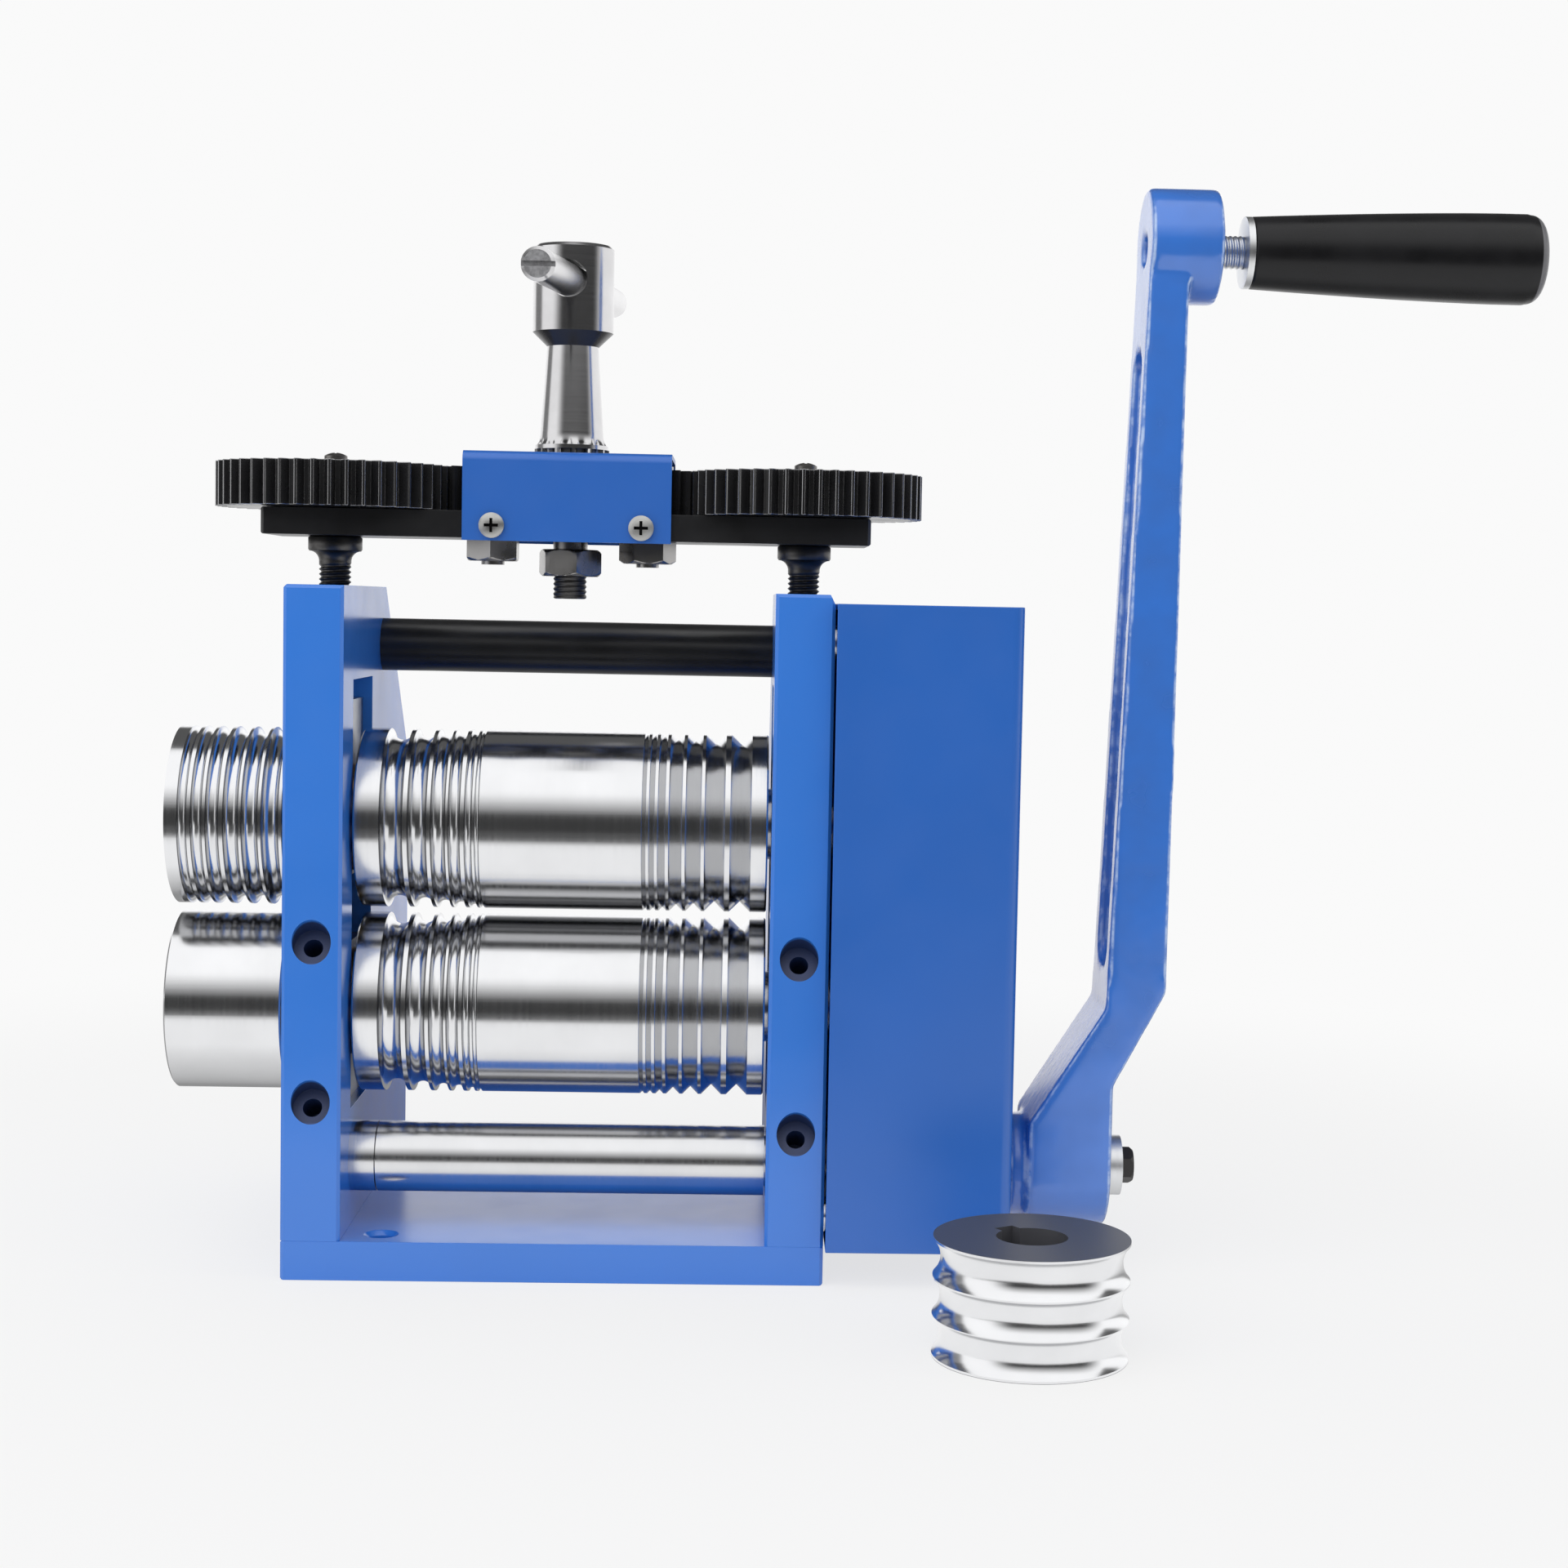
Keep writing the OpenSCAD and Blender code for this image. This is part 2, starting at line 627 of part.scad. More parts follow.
module frame_screws() {
    color("DimGray") {
        frame_screw_places() difference() {
            union() {
                zcyl(frame_screw_d, 0, frame_screw_len);
                cylinder(h = frame_screw_d / 2, d1 = 2 * frame_screw_d, d2 = frame_screw_d);
            }
            translate([0, 0, -seat_gap]) socket_head_cut();
        }
        for (side = [-1, 1]) translate([side * plate_out, front_y + tie_back, tie_z])
            rotate([0, -side * 90, 0]) difference() {
                union() {
                    zcyl(frame_screw_d, 0, frame_screw_len);
                    cylinder(h = frame_screw_d / 2, d1 = 2 * frame_screw_d, d2 = frame_screw_d);
                }
                translate([0, 0, -seat_gap]) socket_head_cut();
            }
    }
}

module upper_tie_bar() {
    color("DimGray") difference() {
        xcyl(tie_d, -plate_in, plate_in, front_y + tie_back, tie_z);
        for (side = [-1, 1]) translate([side * plate_in, front_y + tie_back, tie_z])
            rotate([0, -side * 90, 0])
                zcyl(frame_screw_d + 2 * seat_gap, -over, frame_screw_len - plate_t + seat_gap);
    }
}

// Bearings of the rolls

module lower_block(side) {
    color("Silver") difference() {
        block(min(side * block_in, side * block_out), max(side * block_in, side * block_out),
            roll_y - window_w / 2 + seat_gap, roll_y + window_w / 2 - seat_gap,
            block_low, lower_block_top);
        xcyl(bush_d + 2 * seat_gap, side * screw_x - plate_t, side * screw_x + plate_t, roll_y, lower_z);
    }
}

module upper_block(side) {
    color("Silver") difference() {
        block(min(side * block_in, side * block_out), max(side * block_in, side * block_out),
            roll_y - window_w / 2 + slide_gap, roll_y + window_w / 2 - slide_gap,
            upper_block_low, upper_block_top);
        xcyl(bush_d + 2 * seat_gap, side * screw_x - plate_t, side * screw_x + plate_t, roll_y, upper_z);
    }
}

module lower_left_block() { lower_block(-1); }
module lower_right_block() { lower_block(1); }
module upper_left_block() { upper_block(-1); }
module upper_right_block() { upper_block(1); }

module roll_bush(side, z) {
    color("DarkGoldenrod") translate([0, roll_y, z]) mirror([side < 0 ? 1 : 0, 0, 0]) difference() {
        union() {
            xcyl(bush_d, block_in, block_out);
            xcyl(bush_rim_d, block_in - bush_rim_t, block_in);
        }
        xcyl(journal_d + 2 * run_gap, block_in - bush_rim_t - over, block_out + over);
    }
}

module lower_left_bush() { roll_bush(-1, lower_z); }
module lower_right_bush() { roll_bush(1, lower_z); }
module upper_left_bush() { roll_bush(-1, upper_z); }
module upper_right_bush() { roll_bush(1, upper_z); }

module drive_bushes() {
    color("Silver") translate([0, drive_y, drive_z]) {
        difference() {
            union() {
                xcyl(drive_bush_d, -plate_in - drive_blind, -plate_in);
                xcyl(drive_d, -plate_in, -plate_in + drive_collar);
            }
            xcyl(drive_journal_d + 2 * run_gap, -plate_in - drive_blind - over,
                -plate_in + drive_collar + over);
        }
        difference() {
            xcyl(drive_bush_d, plate_in, plate_out);
            xcyl(drive_journal_d + 2 * run_gap, plate_in - over, plate_out + over);
        }
    }
}

// Lift springs: one tube of six sides along a helix, the ends laid flat
spring_turns = 5;
spring_steps = 8;
function spring_point(i, h) =
    let (a = i * 360 / spring_steps, n = spring_turns * spring_steps, r = (spring_d - spring_wire_d) / 2,
        rise = h - spring_wire_d - 2 * run_gap,
        s = max(0, min(1, (i - spring_steps / 2) / (n - spring_steps))))
    [r * cos(a), r * sin(a), spring_wire_d / 2 + run_gap + rise * s];

spring_rise = (spring_h - spring_wire_d - 2 * run_gap) / (spring_turns - 1);
echo("least gap between spring coils", spring_rise - spring_wire_d);

module lift_spring(x, y) {
    n = spring_turns * spring_steps;
    h = spring_h;
    pts = [for (i = [0 : n]) let (p = spring_point(i, h), a = i * 360 / spring_steps)
        for (k = [0 : 5]) let (b = k * 60, w = spring_wire_d / 2)
            [p[0] + w * cos(b) * cos(a), p[1] + w * cos(b) * sin(a), p[2] + w * sin(b)]];
    faces = concat([[5, 4, 3, 2, 1, 0]], [[for (k = [0 : 5]) n * 6 + k]],
        [for (i = [0 : n - 1], k = [0 : 5])
            [i * 6 + k, i * 6 + (k + 1) % 6, (i + 1) * 6 + (k + 1) % 6, (i + 1) * 6 + k]]);
    color("Gray") translate([x, y, lower_block_top])
        polyhedron(points = pts, faces = [for (f = faces) [for (j = [len(f) - 1 : -1 : 0]) f[j]]]);
}

module spring_left_front() { lift_spring(-plate_out + block_t / 2, roll_y - spring_off); }
module spring_left_rear() { lift_spring(-plate_out + block_t / 2, roll_y + spring_off); }
module spring_right_front() { lift_spring(plate_out - block_t / 2, roll_y - spring_off); }
module spring_right_rear() { lift_spring(plate_out - block_t / 2, roll_y + spring_off); }

// Rolls

module key_cut(x0, x1) {
    block(x0 - seat_gap, x1 + seat_gap, -key_w / 2 - seat_gap, key_w / 2 + seat_gap,
        key_z - key_w / 2, key_z + key_w);
}

module roll_body(z, end_x) {
    translate([0, roll_y, z]) difference() {
        union() {
            difference() {
                xcyl(roll_d, -roll_len / 2, roll_len / 2);
                for (g = round_groove_shares) translate([g[0] * roll_len, 0, 0]) rotate([0, 90, 0])
                    rotate_extrude() translate([roll_d / 2, 0]) circle(r = g[1] * roll_len);
                for (g = vee_groove_shares) translate([g[0] * roll_len, 0, 0]) rotate([0, 90, 0])
                    rotate_extrude() polygon([[roll_d / 2 - g[1] * roll_len, 0],
                        [roll_d / 2 + over, g[1] * roll_len + over],
                        [roll_d / 2 + over, -g[1] * roll_len - over]]);
                for (side = [-1, 1]) translate([side * roll_len / 2, 0, 0]) rotate([0, 90, 0])
                    rotate_extrude() polygon([[roll_d / 2 - groove_mouth, 0],
                        [roll_d / 2 + over, groove_mouth + over],
                        [roll_d / 2 + over, -groove_mouth - over]]);
            }
            xcyl(journal_d, -plate_out - side_off / 2, plate_out + side_off / 2);
            xcyl(seat_d, side_out + side_face_cut, end_x);
        }
        key_cut(side_in - side_len / 2, side_in);
        key_cut(sync_in, sync_out);
        xcyl(frame_screw_d + 2 * seat_gap, side_out, side_out + side_len * 0.6);
    }
}

module lower_roll() {
    color("LightSteelBlue") difference() {
        roll_body(lower_z, bull_out + gear_nut_t);
        translate([0, roll_y, lower_z]) key_cut(bull_in, bull_out);
    }
}
module upper_roll() { color("LightSteelBlue") roll_body(upper_z, sync_out + gear_nut_t); }

module side_blank() {
    difference() {
        xcyl(side_d, side_out, side_in);
        xcyl(seat_d + 2 * seat_gap, side_out - over, side_in + over);
        xcyl(side_washer_d + 2 * seat_gap, side_out - over, side_out + side_face_cut);
        block(side_out - over, side_in + over, -key_w / 2 - seat_gap, key_w / 2 + seat_gap,
            0, key_z + key_w / 2 + seat_gap);
    }
}

module lower_side_roll() {
    color("LightSteelBlue") translate([0, roll_y, lower_z]) difference() {
        side_blank();
        for (x = [side_out, side_in]) translate([x, 0, 0]) rotate([0, 90, 0])
            rotate_extrude() polygon([[side_d / 2 - groove_mouth, 0],
                [side_d / 2 + over, groove_mouth + over], [side_d / 2 + over, -groove_mouth - over]]);
    }
}

module upper_side_roll() {
    color("LightSteelBlue") translate([0, roll_y, upper_z]) difference() {
        side_blank();
        for (g = side_groove_shares) translate([side_in - g[0] * side_len, 0, 0]) rotate([0, 90, 0])
            rotate_extrude() translate([side_d / 2, 0]) circle(r = g[1] * side_len);
    }
}

module side_screw(z) {
    color("DimGray") translate([0, roll_y, z]) difference() {
        union() {
            xcyl(side_washer_d, side_out, side_out + side_face_cut - seat_gap);
            xcyl(frame_screw_d, side_out, side_out + side_len / 2);
        }
        translate([side_out - seat_gap, 0, 0]) rotate([0, 90, 0]) socket_head_cut();
    }
}
module lower_side_screw() { side_screw(lower_z); }
module upper_side_screw() { side_screw(upper_z); }

module roll_key(x0, x1) {
    block(x0, x1, -key_w / 2, key_w / 2, key_z - key_w / 2 + seat_gap, key_z + key_w / 2);
}
module lower_roll_keys() {
    color("DimGray") translate([0, roll_y, lower_z]) {
        roll_key(side_in - side_len / 2, side_in);
        roll_key(sync_in, sync_out);
        roll_key(bull_in, bull_out);
    }
}
module upper_roll_keys() {
    color("DimGray") translate([0, roll_y, upper_z]) {
        roll_key(side_in - side_len / 2, side_in);
        roll_key(sync_in, sync_out);
    }
}

// Gears of the rolls and the drive

module gear_bore(x0, x1) {
    xcyl(seat_d + 2 * seat_gap, x0 - over, x1 + over);
    block(x0 - over, x1 + over, -key_w / 2 - seat_gap, key_w / 2 + seat_gap,
        0, key_z + key_w / 2 + seat_gap);
}

module lower_roll_gear() {
    color("Gray") translate([0, roll_y, lower_z]) difference() {
        along_x(sync_in, sync_out) gear_outline(sync_teeth, sync_module, 90);
        gear_bore(sync_in, sync_out);
    }
}

module upper_roll_gear() {
    color("Gray") translate([0, roll_y, upper_z]) difference() {
        along_x(sync_in, sync_out) gear_outline(sync_teeth, sync_module, -90 + 180 / sync_teeth);
        gear_bore(sync_in, sync_out);
    }
}

module large_drive_gear() {
    color("Gray") translate([0, roll_y, lower_z]) difference() {
        union() {
            along_x(bull_in, bull_out) gear_outline(bull_teeth, bull_module, bull_angle);
            xcyl(bull_hub_d, sync_out, bull_in + over);
        }
        gear_bore(sync_out, bull_out);
    }
}

module gear_nut(x0, z) {
    color("DimGray") translate([0, roll_y, z]) difference() {
        xcyl(gear_nut_d, x0, x0 + gear_nut_t);
        xcyl(seat_d + 2 * seat_gap, x0 - over, x0 + gear_nut_t + over);
        for (a = [0, 90]) rotate([a, 0, 0]) for (side = [-1, 1])
            block(x0 - over, x0 + gear_nut_t + over, -key_w / 3, key_w / 3,
                min(side * gear_nut_d * 0.42, side * gear_nut_d), max(side * gear_nut_d * 0.42,
                side * gear_nut_d));
    }
}
module lower_gear_nut() { gear_nut(bull_out, lower_z); }
module upper_gear_nut() { gear_nut(sync_out, upper_z); }

module drive_shaft() {
    color("Silver") translate([0, drive_y, drive_z]) difference() {
        union() {
            xcyl(drive_journal_d, -plate_in - drive_blind + run_gap, hub_in);
            xcyl(drive_d, -plate_in + drive_collar + 6 * run_gap, plate_in - 6 * run_gap);
            xcyl(hub_seat_d, hub_in - over, hub_out - crank_bolt_t / 2);
        }
        xcyl(crank_bolt_d + 2 * seat_gap, hub_out - crank_bolt_len, hub_out);
    }
}

module drive_pinion() {
    color("Gray") translate([0, drive_y, drive_z]) difference() {
        union() {
            along_x(bull_in - seat_gap, bull_in - seat_gap + pinion_w)
                gear_outline(pinion_teeth, bull_module, bull_angle + 180 + 180 / pinion_teeth);
            xcyl(pinion_hub_d, plate_out + 10 * run_gap, bull_in);
        }
        xcyl(drive_journal_d + 2 * seat_gap, plate_out, bull_in + pinion_w + over);
    }
}

// Gear cover with its pillars

module pillar_places() {
    for (p = [[cover_y0 + pillar_inset, cover_top - pillar_inset - sheet_t],
        [cover_y1 - pillar_inset, cover_top - pillar_inset - sheet_t],
        [cover_y1 - pillar_inset, cover_low + pillar_inset + sheet_t],
        [cover_y0 + pillar_inset - sheet_t / 2, cover_low + pillar_inset]])
        translate([0, p[0], p[1]]) children();
}

module gear_cover() {
    color("RoyalBlue") difference() {
        along_z(cover_low, cover_top) round_rect(cover_in - cover_r, cover_out, cover_y0, cover_y1, cover_r);
        along_z(cover_low + sheet_t, cover_top - sheet_t)
            round_rect(cover_in - cover_r - over, cover_out - sheet_t, cover_y0 + sheet_t,
                cover_y1 - sheet_t, cover_r - sheet_t);
        block(cover_in - 2 * cover_r, cover_in, cover_y0 - over, cover_y1 + over,
            cover_low - over, cover_top + over);
        xcyl(drive_journal_d + over, cover_out - sheet_t - over, cover_out + over, drive_y, drive_z);
        pillar_places() {
            xcyl(cover_screw_d + 2 * seat_gap, cover_out - sheet_t - over, cover_out + over);
            translate([cover_out - sheet_t, 0, 0]) rotate([0, 90, 0]) cylinder(h = sheet_t + seat_gap,
                d1 = cover_screw_d + 2 * seat_gap, d2 = cover_screw_d + 2 * sheet_t + 4 * seat_gap);
        }
    }
}

module cover_pillars() {
    color("Silver") pillar_places() difference() {
        union() {
            xcyl(pillar_d, plate_out, cover_out - sheet_t - seat_gap);
            xcyl(cover_screw_d, plate_out - plate_t * 0.28 + seat_gap, plate_out + over);
        }
        xcyl(cover_screw_d + 2 * seat_gap, cover_out - cover_w / 4, cover_out);
    }
}

// Domed screw head with a cross recess, standing on the plane z = 0
module pan_head(d, t) {
    difference() {
        intersection() {
            cylinder(h = t, d = d);
            translate([0, 0, t - d * 0.9]) sphere(r = d * 0.9);
        }
        for (a = [0, 90]) rotate([0, 0, a]) translate([-d * 0.28, -d * 0.06, t * 0.5])
            cube([d * 0.56, d * 0.12, t]);
    }
}

module cover_screws() {
    color("Silver") pillar_places() translate([cover_out - sheet_t, 0, 0]) rotate([0, 90, 0])
        difference() {
            union() {
                cylinder(h = sheet_t, d1 = cover_screw_d, d2 = cover_screw_d + 2 * sheet_t);
                zcyl(cover_screw_d, -cover_w / 5, over / 10);
            }
            for (a = [0, 90]) rotate([0, 0, a])
                translate([-cover_screw_d * 0.5, -cover_screw_d * 0.11, sheet_t / 2])
                    cube([cover_screw_d, cover_screw_d * 0.22, sheet_t]);
        }
}

// Crank

module crank_side() {
    polygon([[hub_in, drive_z - hub_half - over], [hub_out, drive_z - hub_half - over],
        [hub_out, bend_out_low], [arm_out_low, bend_out_high], [arm_out_top, crank_grip_z],
        [arm_in_top, crank_grip_z], [arm_in_low, bend_in_high], [hub_in, bend_in_low]]);
}

module crank_front() {
    union() {
        translate([drive_y, drive_z]) circle(r = hub_half);
        polygon([[drive_y - hub_half, drive_z], [drive_y + hub_half, drive_z],
            [drive_y + arm_half_top, crank_grip_z], [drive_y - arm_half_top, crank_grip_z]]);
    }
}

module arm_pocket(x_low, x_top, side) {
    lean = atan2(x_top - x_low, crank_grip_z - bend_in_high);
    reach = pocket_top - pocket_low;
    translate([x_low + (x_top - x_low) * (pocket_low - bend_in_high) / (crank_grip_z - bend_in_high),
        drive_y, pocket_low]) rotate([0, lean, 0]) {
        x0 = side < 0 ? -pocket_depth * 3 : -pocket_depth;
        x1 = side < 0 ? pocket_depth : pocket_depth * 3;
        xcyl(pocket_w, x0, x1);
        xcyl(pocket_w * 0.86, x0, x1, 0, reach);
        translate([x0, 0, 0]) rotate([90, 0, 90]) linear_extrude(height = x1 - x0)
            polygon([[-pocket_w / 2, 0], [pocket_w / 2, 0], [pocket_w * 0.43, reach],
                [-pocket_w * 0.43, reach]]);
    }
}

module crank_arm() {
    color("CornflowerBlue") difference() {
        union() {
            intersection() {
                along_y(drive_y - hub_half - over, drive_y + hub_half + over) crank_side();
                along_x(hub_in - over, arm_out_top + over) crank_front();
            }
            xcyl(boss_d, arm_in_top, boss_out, drive_y, crank_grip_z + boss_rise);
            xcyl(hub_ring_d, hub_in - hub_ring_t, hub_in + over, drive_y, drive_z);
        }
        arm_pocket(arm_in_low, arm_in_top, -1);
        arm_pocket(arm_out_low, arm_out_top, 1);
        xcyl(hub_seat_d + 2 * seat_gap, hub_in, hub_out + over, drive_y, drive_z);
        xcyl(drive_journal_d + 2 * seat_gap, hub_in - hub_ring_t - over, hub_in, drive_y, drive_z);
        xcyl(spindle_d + 2 * seat_gap, arm_in_top - over, boss_out + over, drive_y, crank_grip_z);
    }
}

module crank_washer() {
    color("Silver") translate([0, drive_y, drive_z]) difference() {
        xcyl(crank_washer_d, hub_out, hub_out + crank_washer_t);
        xcyl(crank_bolt_d + 2 * seat_gap, hub_out - over, hub_out + crank_washer_t + over);
    }
}

module crank_bolt() {
    color("DimGray") translate([hub_out + crank_washer_t, drive_y, drive_z]) rotate([0, 90, 0]) {
        intersection() {
            cylinder(h = crank_bolt_t, d = crank_bolt_flats / cos(30), $fn = 6);
            cylinder(h = crank_bolt_t, d1 = crank_bolt_flats * 1.6, d2 = crank_bolt_flats * 0.98);
        }
        zcyl(crank_bolt_d, -crank_bolt_len, over / 10);
    }
}

module grip_spindle() {
    color("Silver") translate([0, drive_y, crank_grip_z]) difference() {
        xcyl(spindle_d, boss_out - spindle_nut, grip_out - cap_t * 2);
        translate([boss_out - spindle_nut - seat_gap, 0, 0]) rotate([0, 90, 0]) socket_head_cut();
    }
}

module grip_handle() {
    small = grip_d_in / 2;
    grow = (grip_d_out - grip_d_in) / 2;
    tail = grip_d_out / 2 - grow;
    color("DimGray") translate([grip_in, drive_y, crank_grip_z]) rotate([0, 90, 0]) difference() {
        rotate_extrude() polygon(concat([[0, ferrule_t]], [for (g = grip_shares)
            [small + grow * g[1], max(ferrule_t, g[0] * grip_len)]], [[0, grip_len]]));
        zcyl(spindle_d + 4 * run_gap, -over, grip_len - cap_t);
        zcyl(cap_d + 2 * seat_gap, grip_len - cap_t, grip_len + over);
    }
}

module grip_ferrule() {
    color("Silver") translate([grip_in, drive_y, crank_grip_z]) rotate([0, 90, 0]) difference() {
        zcyl(grip_d_in, 0, ferrule_t - seat_gap);
        zcyl(spindle_d + 4 * run_gap, -over, ferrule_t + over);
    }
}

module grip_end_cap() {
    color("Gray") translate([grip_in, drive_y, crank_grip_z]) rotate([0, 90, 0])
        zcyl(cap_d, grip_len - cap_t + seat_gap, grip_len);
}

// Bridge with its cover

module bridge_bar() {
    color("DimGray") difference() {
        intersection() {
            along_z(bridge_z, bridge_top)
                cut_rect(-bridge_w / 2, bridge_w / 2, roll_y - bridge_d / 2, roll_y + bridge_d / 2, edge);
            along_y(roll_y - bridge_d / 2 - over, roll_y + bridge_d / 2 + over)
                cut_rect(-bridge_w / 2, bridge_w / 2, bridge_z, bridge_top, edge / 2);
        }
        for (x = [-screw_x, screw_x])
            zcyl(screw_neck_d + 2 * run_gap, bridge_z - over, bridge_top + over, x, roll_y);
        for (x = [-idler_x, idler_x])
            zcyl(idler_bolt_d + 2 * seat_gap, bridge_z - over, bridge_top + over, x, roll_y);
        zcyl(handle_neck_d + 2 * run_gap, bridge_z - over, bridge_top + over, 0, roll_y);
        lid_screw_places() zcyl(gear_screw_shank + 2 * seat_gap, -over - lid_t, 1.6 * gear_screw_d);
    }
}

module lid_screw_places() {
    for (x = [-lid_screw_x, lid_screw_x], side = [-1, 1])
        translate([x, roll_y + side * lid_half_d, bridge_z + lid_screw_up]) rotate([side * 90, 0, 0])
            translate([0, 0, lid_t]) children();
}

module bridge_cover() {
    color("RoyalBlue") difference() {
        along_x(-lid_w / 2, lid_w / 2)
            round_rect(roll_y - lid_half_d, roll_y + lid_half_d, bridge_z - lid_low - lid_r, lid_top, lid_r);
        along_x(-lid_w / 2 - over, lid_w / 2 + over)
            round_rect(roll_y - lid_half_d + lid_t, roll_y + lid_half_d - lid_t,
                bridge_z - lid_low - 2 * lid_r, lid_top - lid_t, lid_r - lid_t);
        block(-lid_w, lid_w, roll_y - bridge_d, roll_y + bridge_d,
            bridge_z - lid_low - 3 * lid_r, bridge_z - lid_low);
        zcyl(train_module * (handle_teeth + 2) + over, lid_top - 2 * lid_t, lid_top + over, 0, roll_y);
        lid_screw_places() zcyl(gear_screw_shank + 2 * seat_gap, -over - lid_t, 1.6 * gear_screw_d);
    }
}

module bridge_cover_screws() {
    color("Silver") lid_screw_places() {
        translate([0, 0, -lid_t]) mirror([0, 0, 1]) pan_head(lid_screw_d, lid_screw_t);
        zcyl(gear_screw_shank, -lid_t - over / 10, 1.5 * gear_screw_d);
    }
}

module idler_bolts() {
    color("DimGray") for (x = [-idler_x, idler_x]) translate([x, roll_y, bridge_z]) {
        mirror([0, 0, 1]) rotate([0, 0, 30]) intersection() {
            cylinder(h = idler_bolt_t, d = idler_bolt_flats / cos(30), $fn = 6);
            cylinder(h = idler_bolt_t, d1 = idler_bolt_flats * 1.6, d2 = idler_bolt_flats * 0.98);
        }
        zcyl(idler_bolt_d, -idler_bolt_t + over, train_top + train_lift - bridge_z + idler_disc_t);
        zcyl(idler_bolt_d * 0.72, -idler_bolt_t - idler_step_t, -idler_bolt_t + over);
        zcyl(idler_bolt_flats, train_top + train_lift - bridge_z,
            train_top + train_lift - bridge_z + idler_disc_t);
    }
}

// Pressure screws with their adjusting gears

module pressure_screw(x) {
    color("Gray") translate([x, roll_y, 0]) difference() {
        union() {
            zcyl(screw_d, screw_low, bridge_z);
            zcyl(collar_d, bridge_z - collar_t, bridge_z - run_gap);
            translate([0, 0, bridge_z - collar_t - collar_cone])
                cylinder(h = collar_cone, d1 = screw_d, d2 = collar_d);
            zcyl(screw_neck_d, bridge_z - 2 * run_gap, train_z);
            zcyl(screw_d, train_z, train_top - seat_gap);
        }
        zcyl(gear_screw_shank + 2 * seat_gap, train_z, train_top + over);
    }
}
module left_pressure_screw() { pressure_screw(-screw_x); }
module right_pressure_screw() { pressure_screw(screw_x); }

module adjusting_gear(x, turn) {
    color("DimGray") translate([x, roll_y, train_z]) difference() {
        linear_extrude(height = train_t) gear_outline(ring_teeth, train_module, turn);
        zcyl(screw_d + 2 * seat_gap, -over, train_t + over);
    }
}
module left_adjusting_gear() { adjusting_gear(-screw_x, 180 / ring_teeth); }
module right_adjusting_gear() { adjusting_gear(screw_x, 180); }

module gear_screw(x) {
    color("Silver") translate([x, roll_y, train_top]) {
        pan_head(gear_screw_d, gear_screw_t);
        zcyl(gear_screw_shank, -train_t * 0.8, over / 10);
        zcyl(screw_d * 1.5, 0, gear_screw_t / 4);
    }
}
module left_gear_screw() { gear_screw(-screw_x); }
module right_gear_screw() { gear_screw(screw_x); }

module idler_gear(x, turn) {
    color("Gray") translate([x, roll_y, train_z]) difference() {
        linear_extrude(height = train_t) gear_outline(idler_teeth, train_module, turn);
        zcyl(idler_bolt_d + 2 * run_gap, -over, train_t + over);
    }
}
module left_idler_gear() { idler_gear(-idler_x, 0); }
module right_idler_gear() { idler_gear(idler_x, 180 / idler_teeth); }

// Adjusting handle

module adjusting_handle() {
    color("Gray") translate([0, roll_y, 0]) difference() {
        union() {
            zcyl(handle_thread_d, bridge_z - handle_drop, bridge_z);
            zcyl(handle_neck_d, bridge_z - run_gap, train_z);
            along_z(train_z, stem_z - over) gear_outline(handle_teeth, train_module, 0);
            zcyl(train_module * (handle_teeth + 1.6), stem_z - over, stem_z);
            translate([0, 0, stem_z])
                cylinder(h = head_z - head_cone - stem_z, d1 = stem_d_low, d2 = stem_d_top);
            translate([0, 0, head_z - head_cone])
                cylinder(h = head_cone, d1 = stem_d_top, d2 = head_d);
            zcyl(head_d, head_z, head_end - edge);
            translate([0, 0, head_end - edge]) cylinder(h = edge, d1 = head_d, d2 = head_d - 2 * edge);
        }
        translate([0, 0, bar_z]) rotate([0, 0, bar_turn]) ycyl(bar_hole_d, -head_d, head_d);
    }
}

module handle_nut() {
    color("DimGray") translate([0, roll_y, bridge_z]) difference() {
        union() {
            mirror([0, 0, 1]) zcyl(handle_nut_flats, run_gap, handle_nut_drop);
            translate([0, 0, -handle_nut_drop - handle_nut_t]) intersection() {
                cylinder(h = handle_nut_t, d = handle_nut_flats / cos(30), $fn = 6);
                cylinder(h = handle_nut_t, d1 = handle_nut_flats * 0.98, d2 = handle_nut_flats * 2);
            }
        }
        zcyl(handle_thread_d + 2 * seat_gap, -handle_nut_drop - handle_nut_t - over, over);
    }
}

module cross_bar() {
    color("Silver") translate([0, roll_y, bar_z]) rotate([0, 0, bar_turn]) rotate([bar_tilt, 0, 0])
        translate([0, -bar_shift, 0]) difference() {
            union() {
                ycyl(bar_d, -bar_len / 2 + edge, bar_len / 2 - edge);
                for (side = [0, 1]) mirror([0, side, 0]) translate([0, -bar_len / 2, 0])
                    rotate([-90, 0, 0]) cylinder(h = edge, d1 = bar_d - 2 * edge, d2 = bar_d);
            }
            for (side = [-1, 1]) translate([-bar_d / 2 - over, side * bar_len / 2 - bar_slot, -bar_slot / 2])
                cube([bar_d + 2 * over, 2 * bar_slot, bar_slot]);
        }
}

// Spare roll standing before the mill

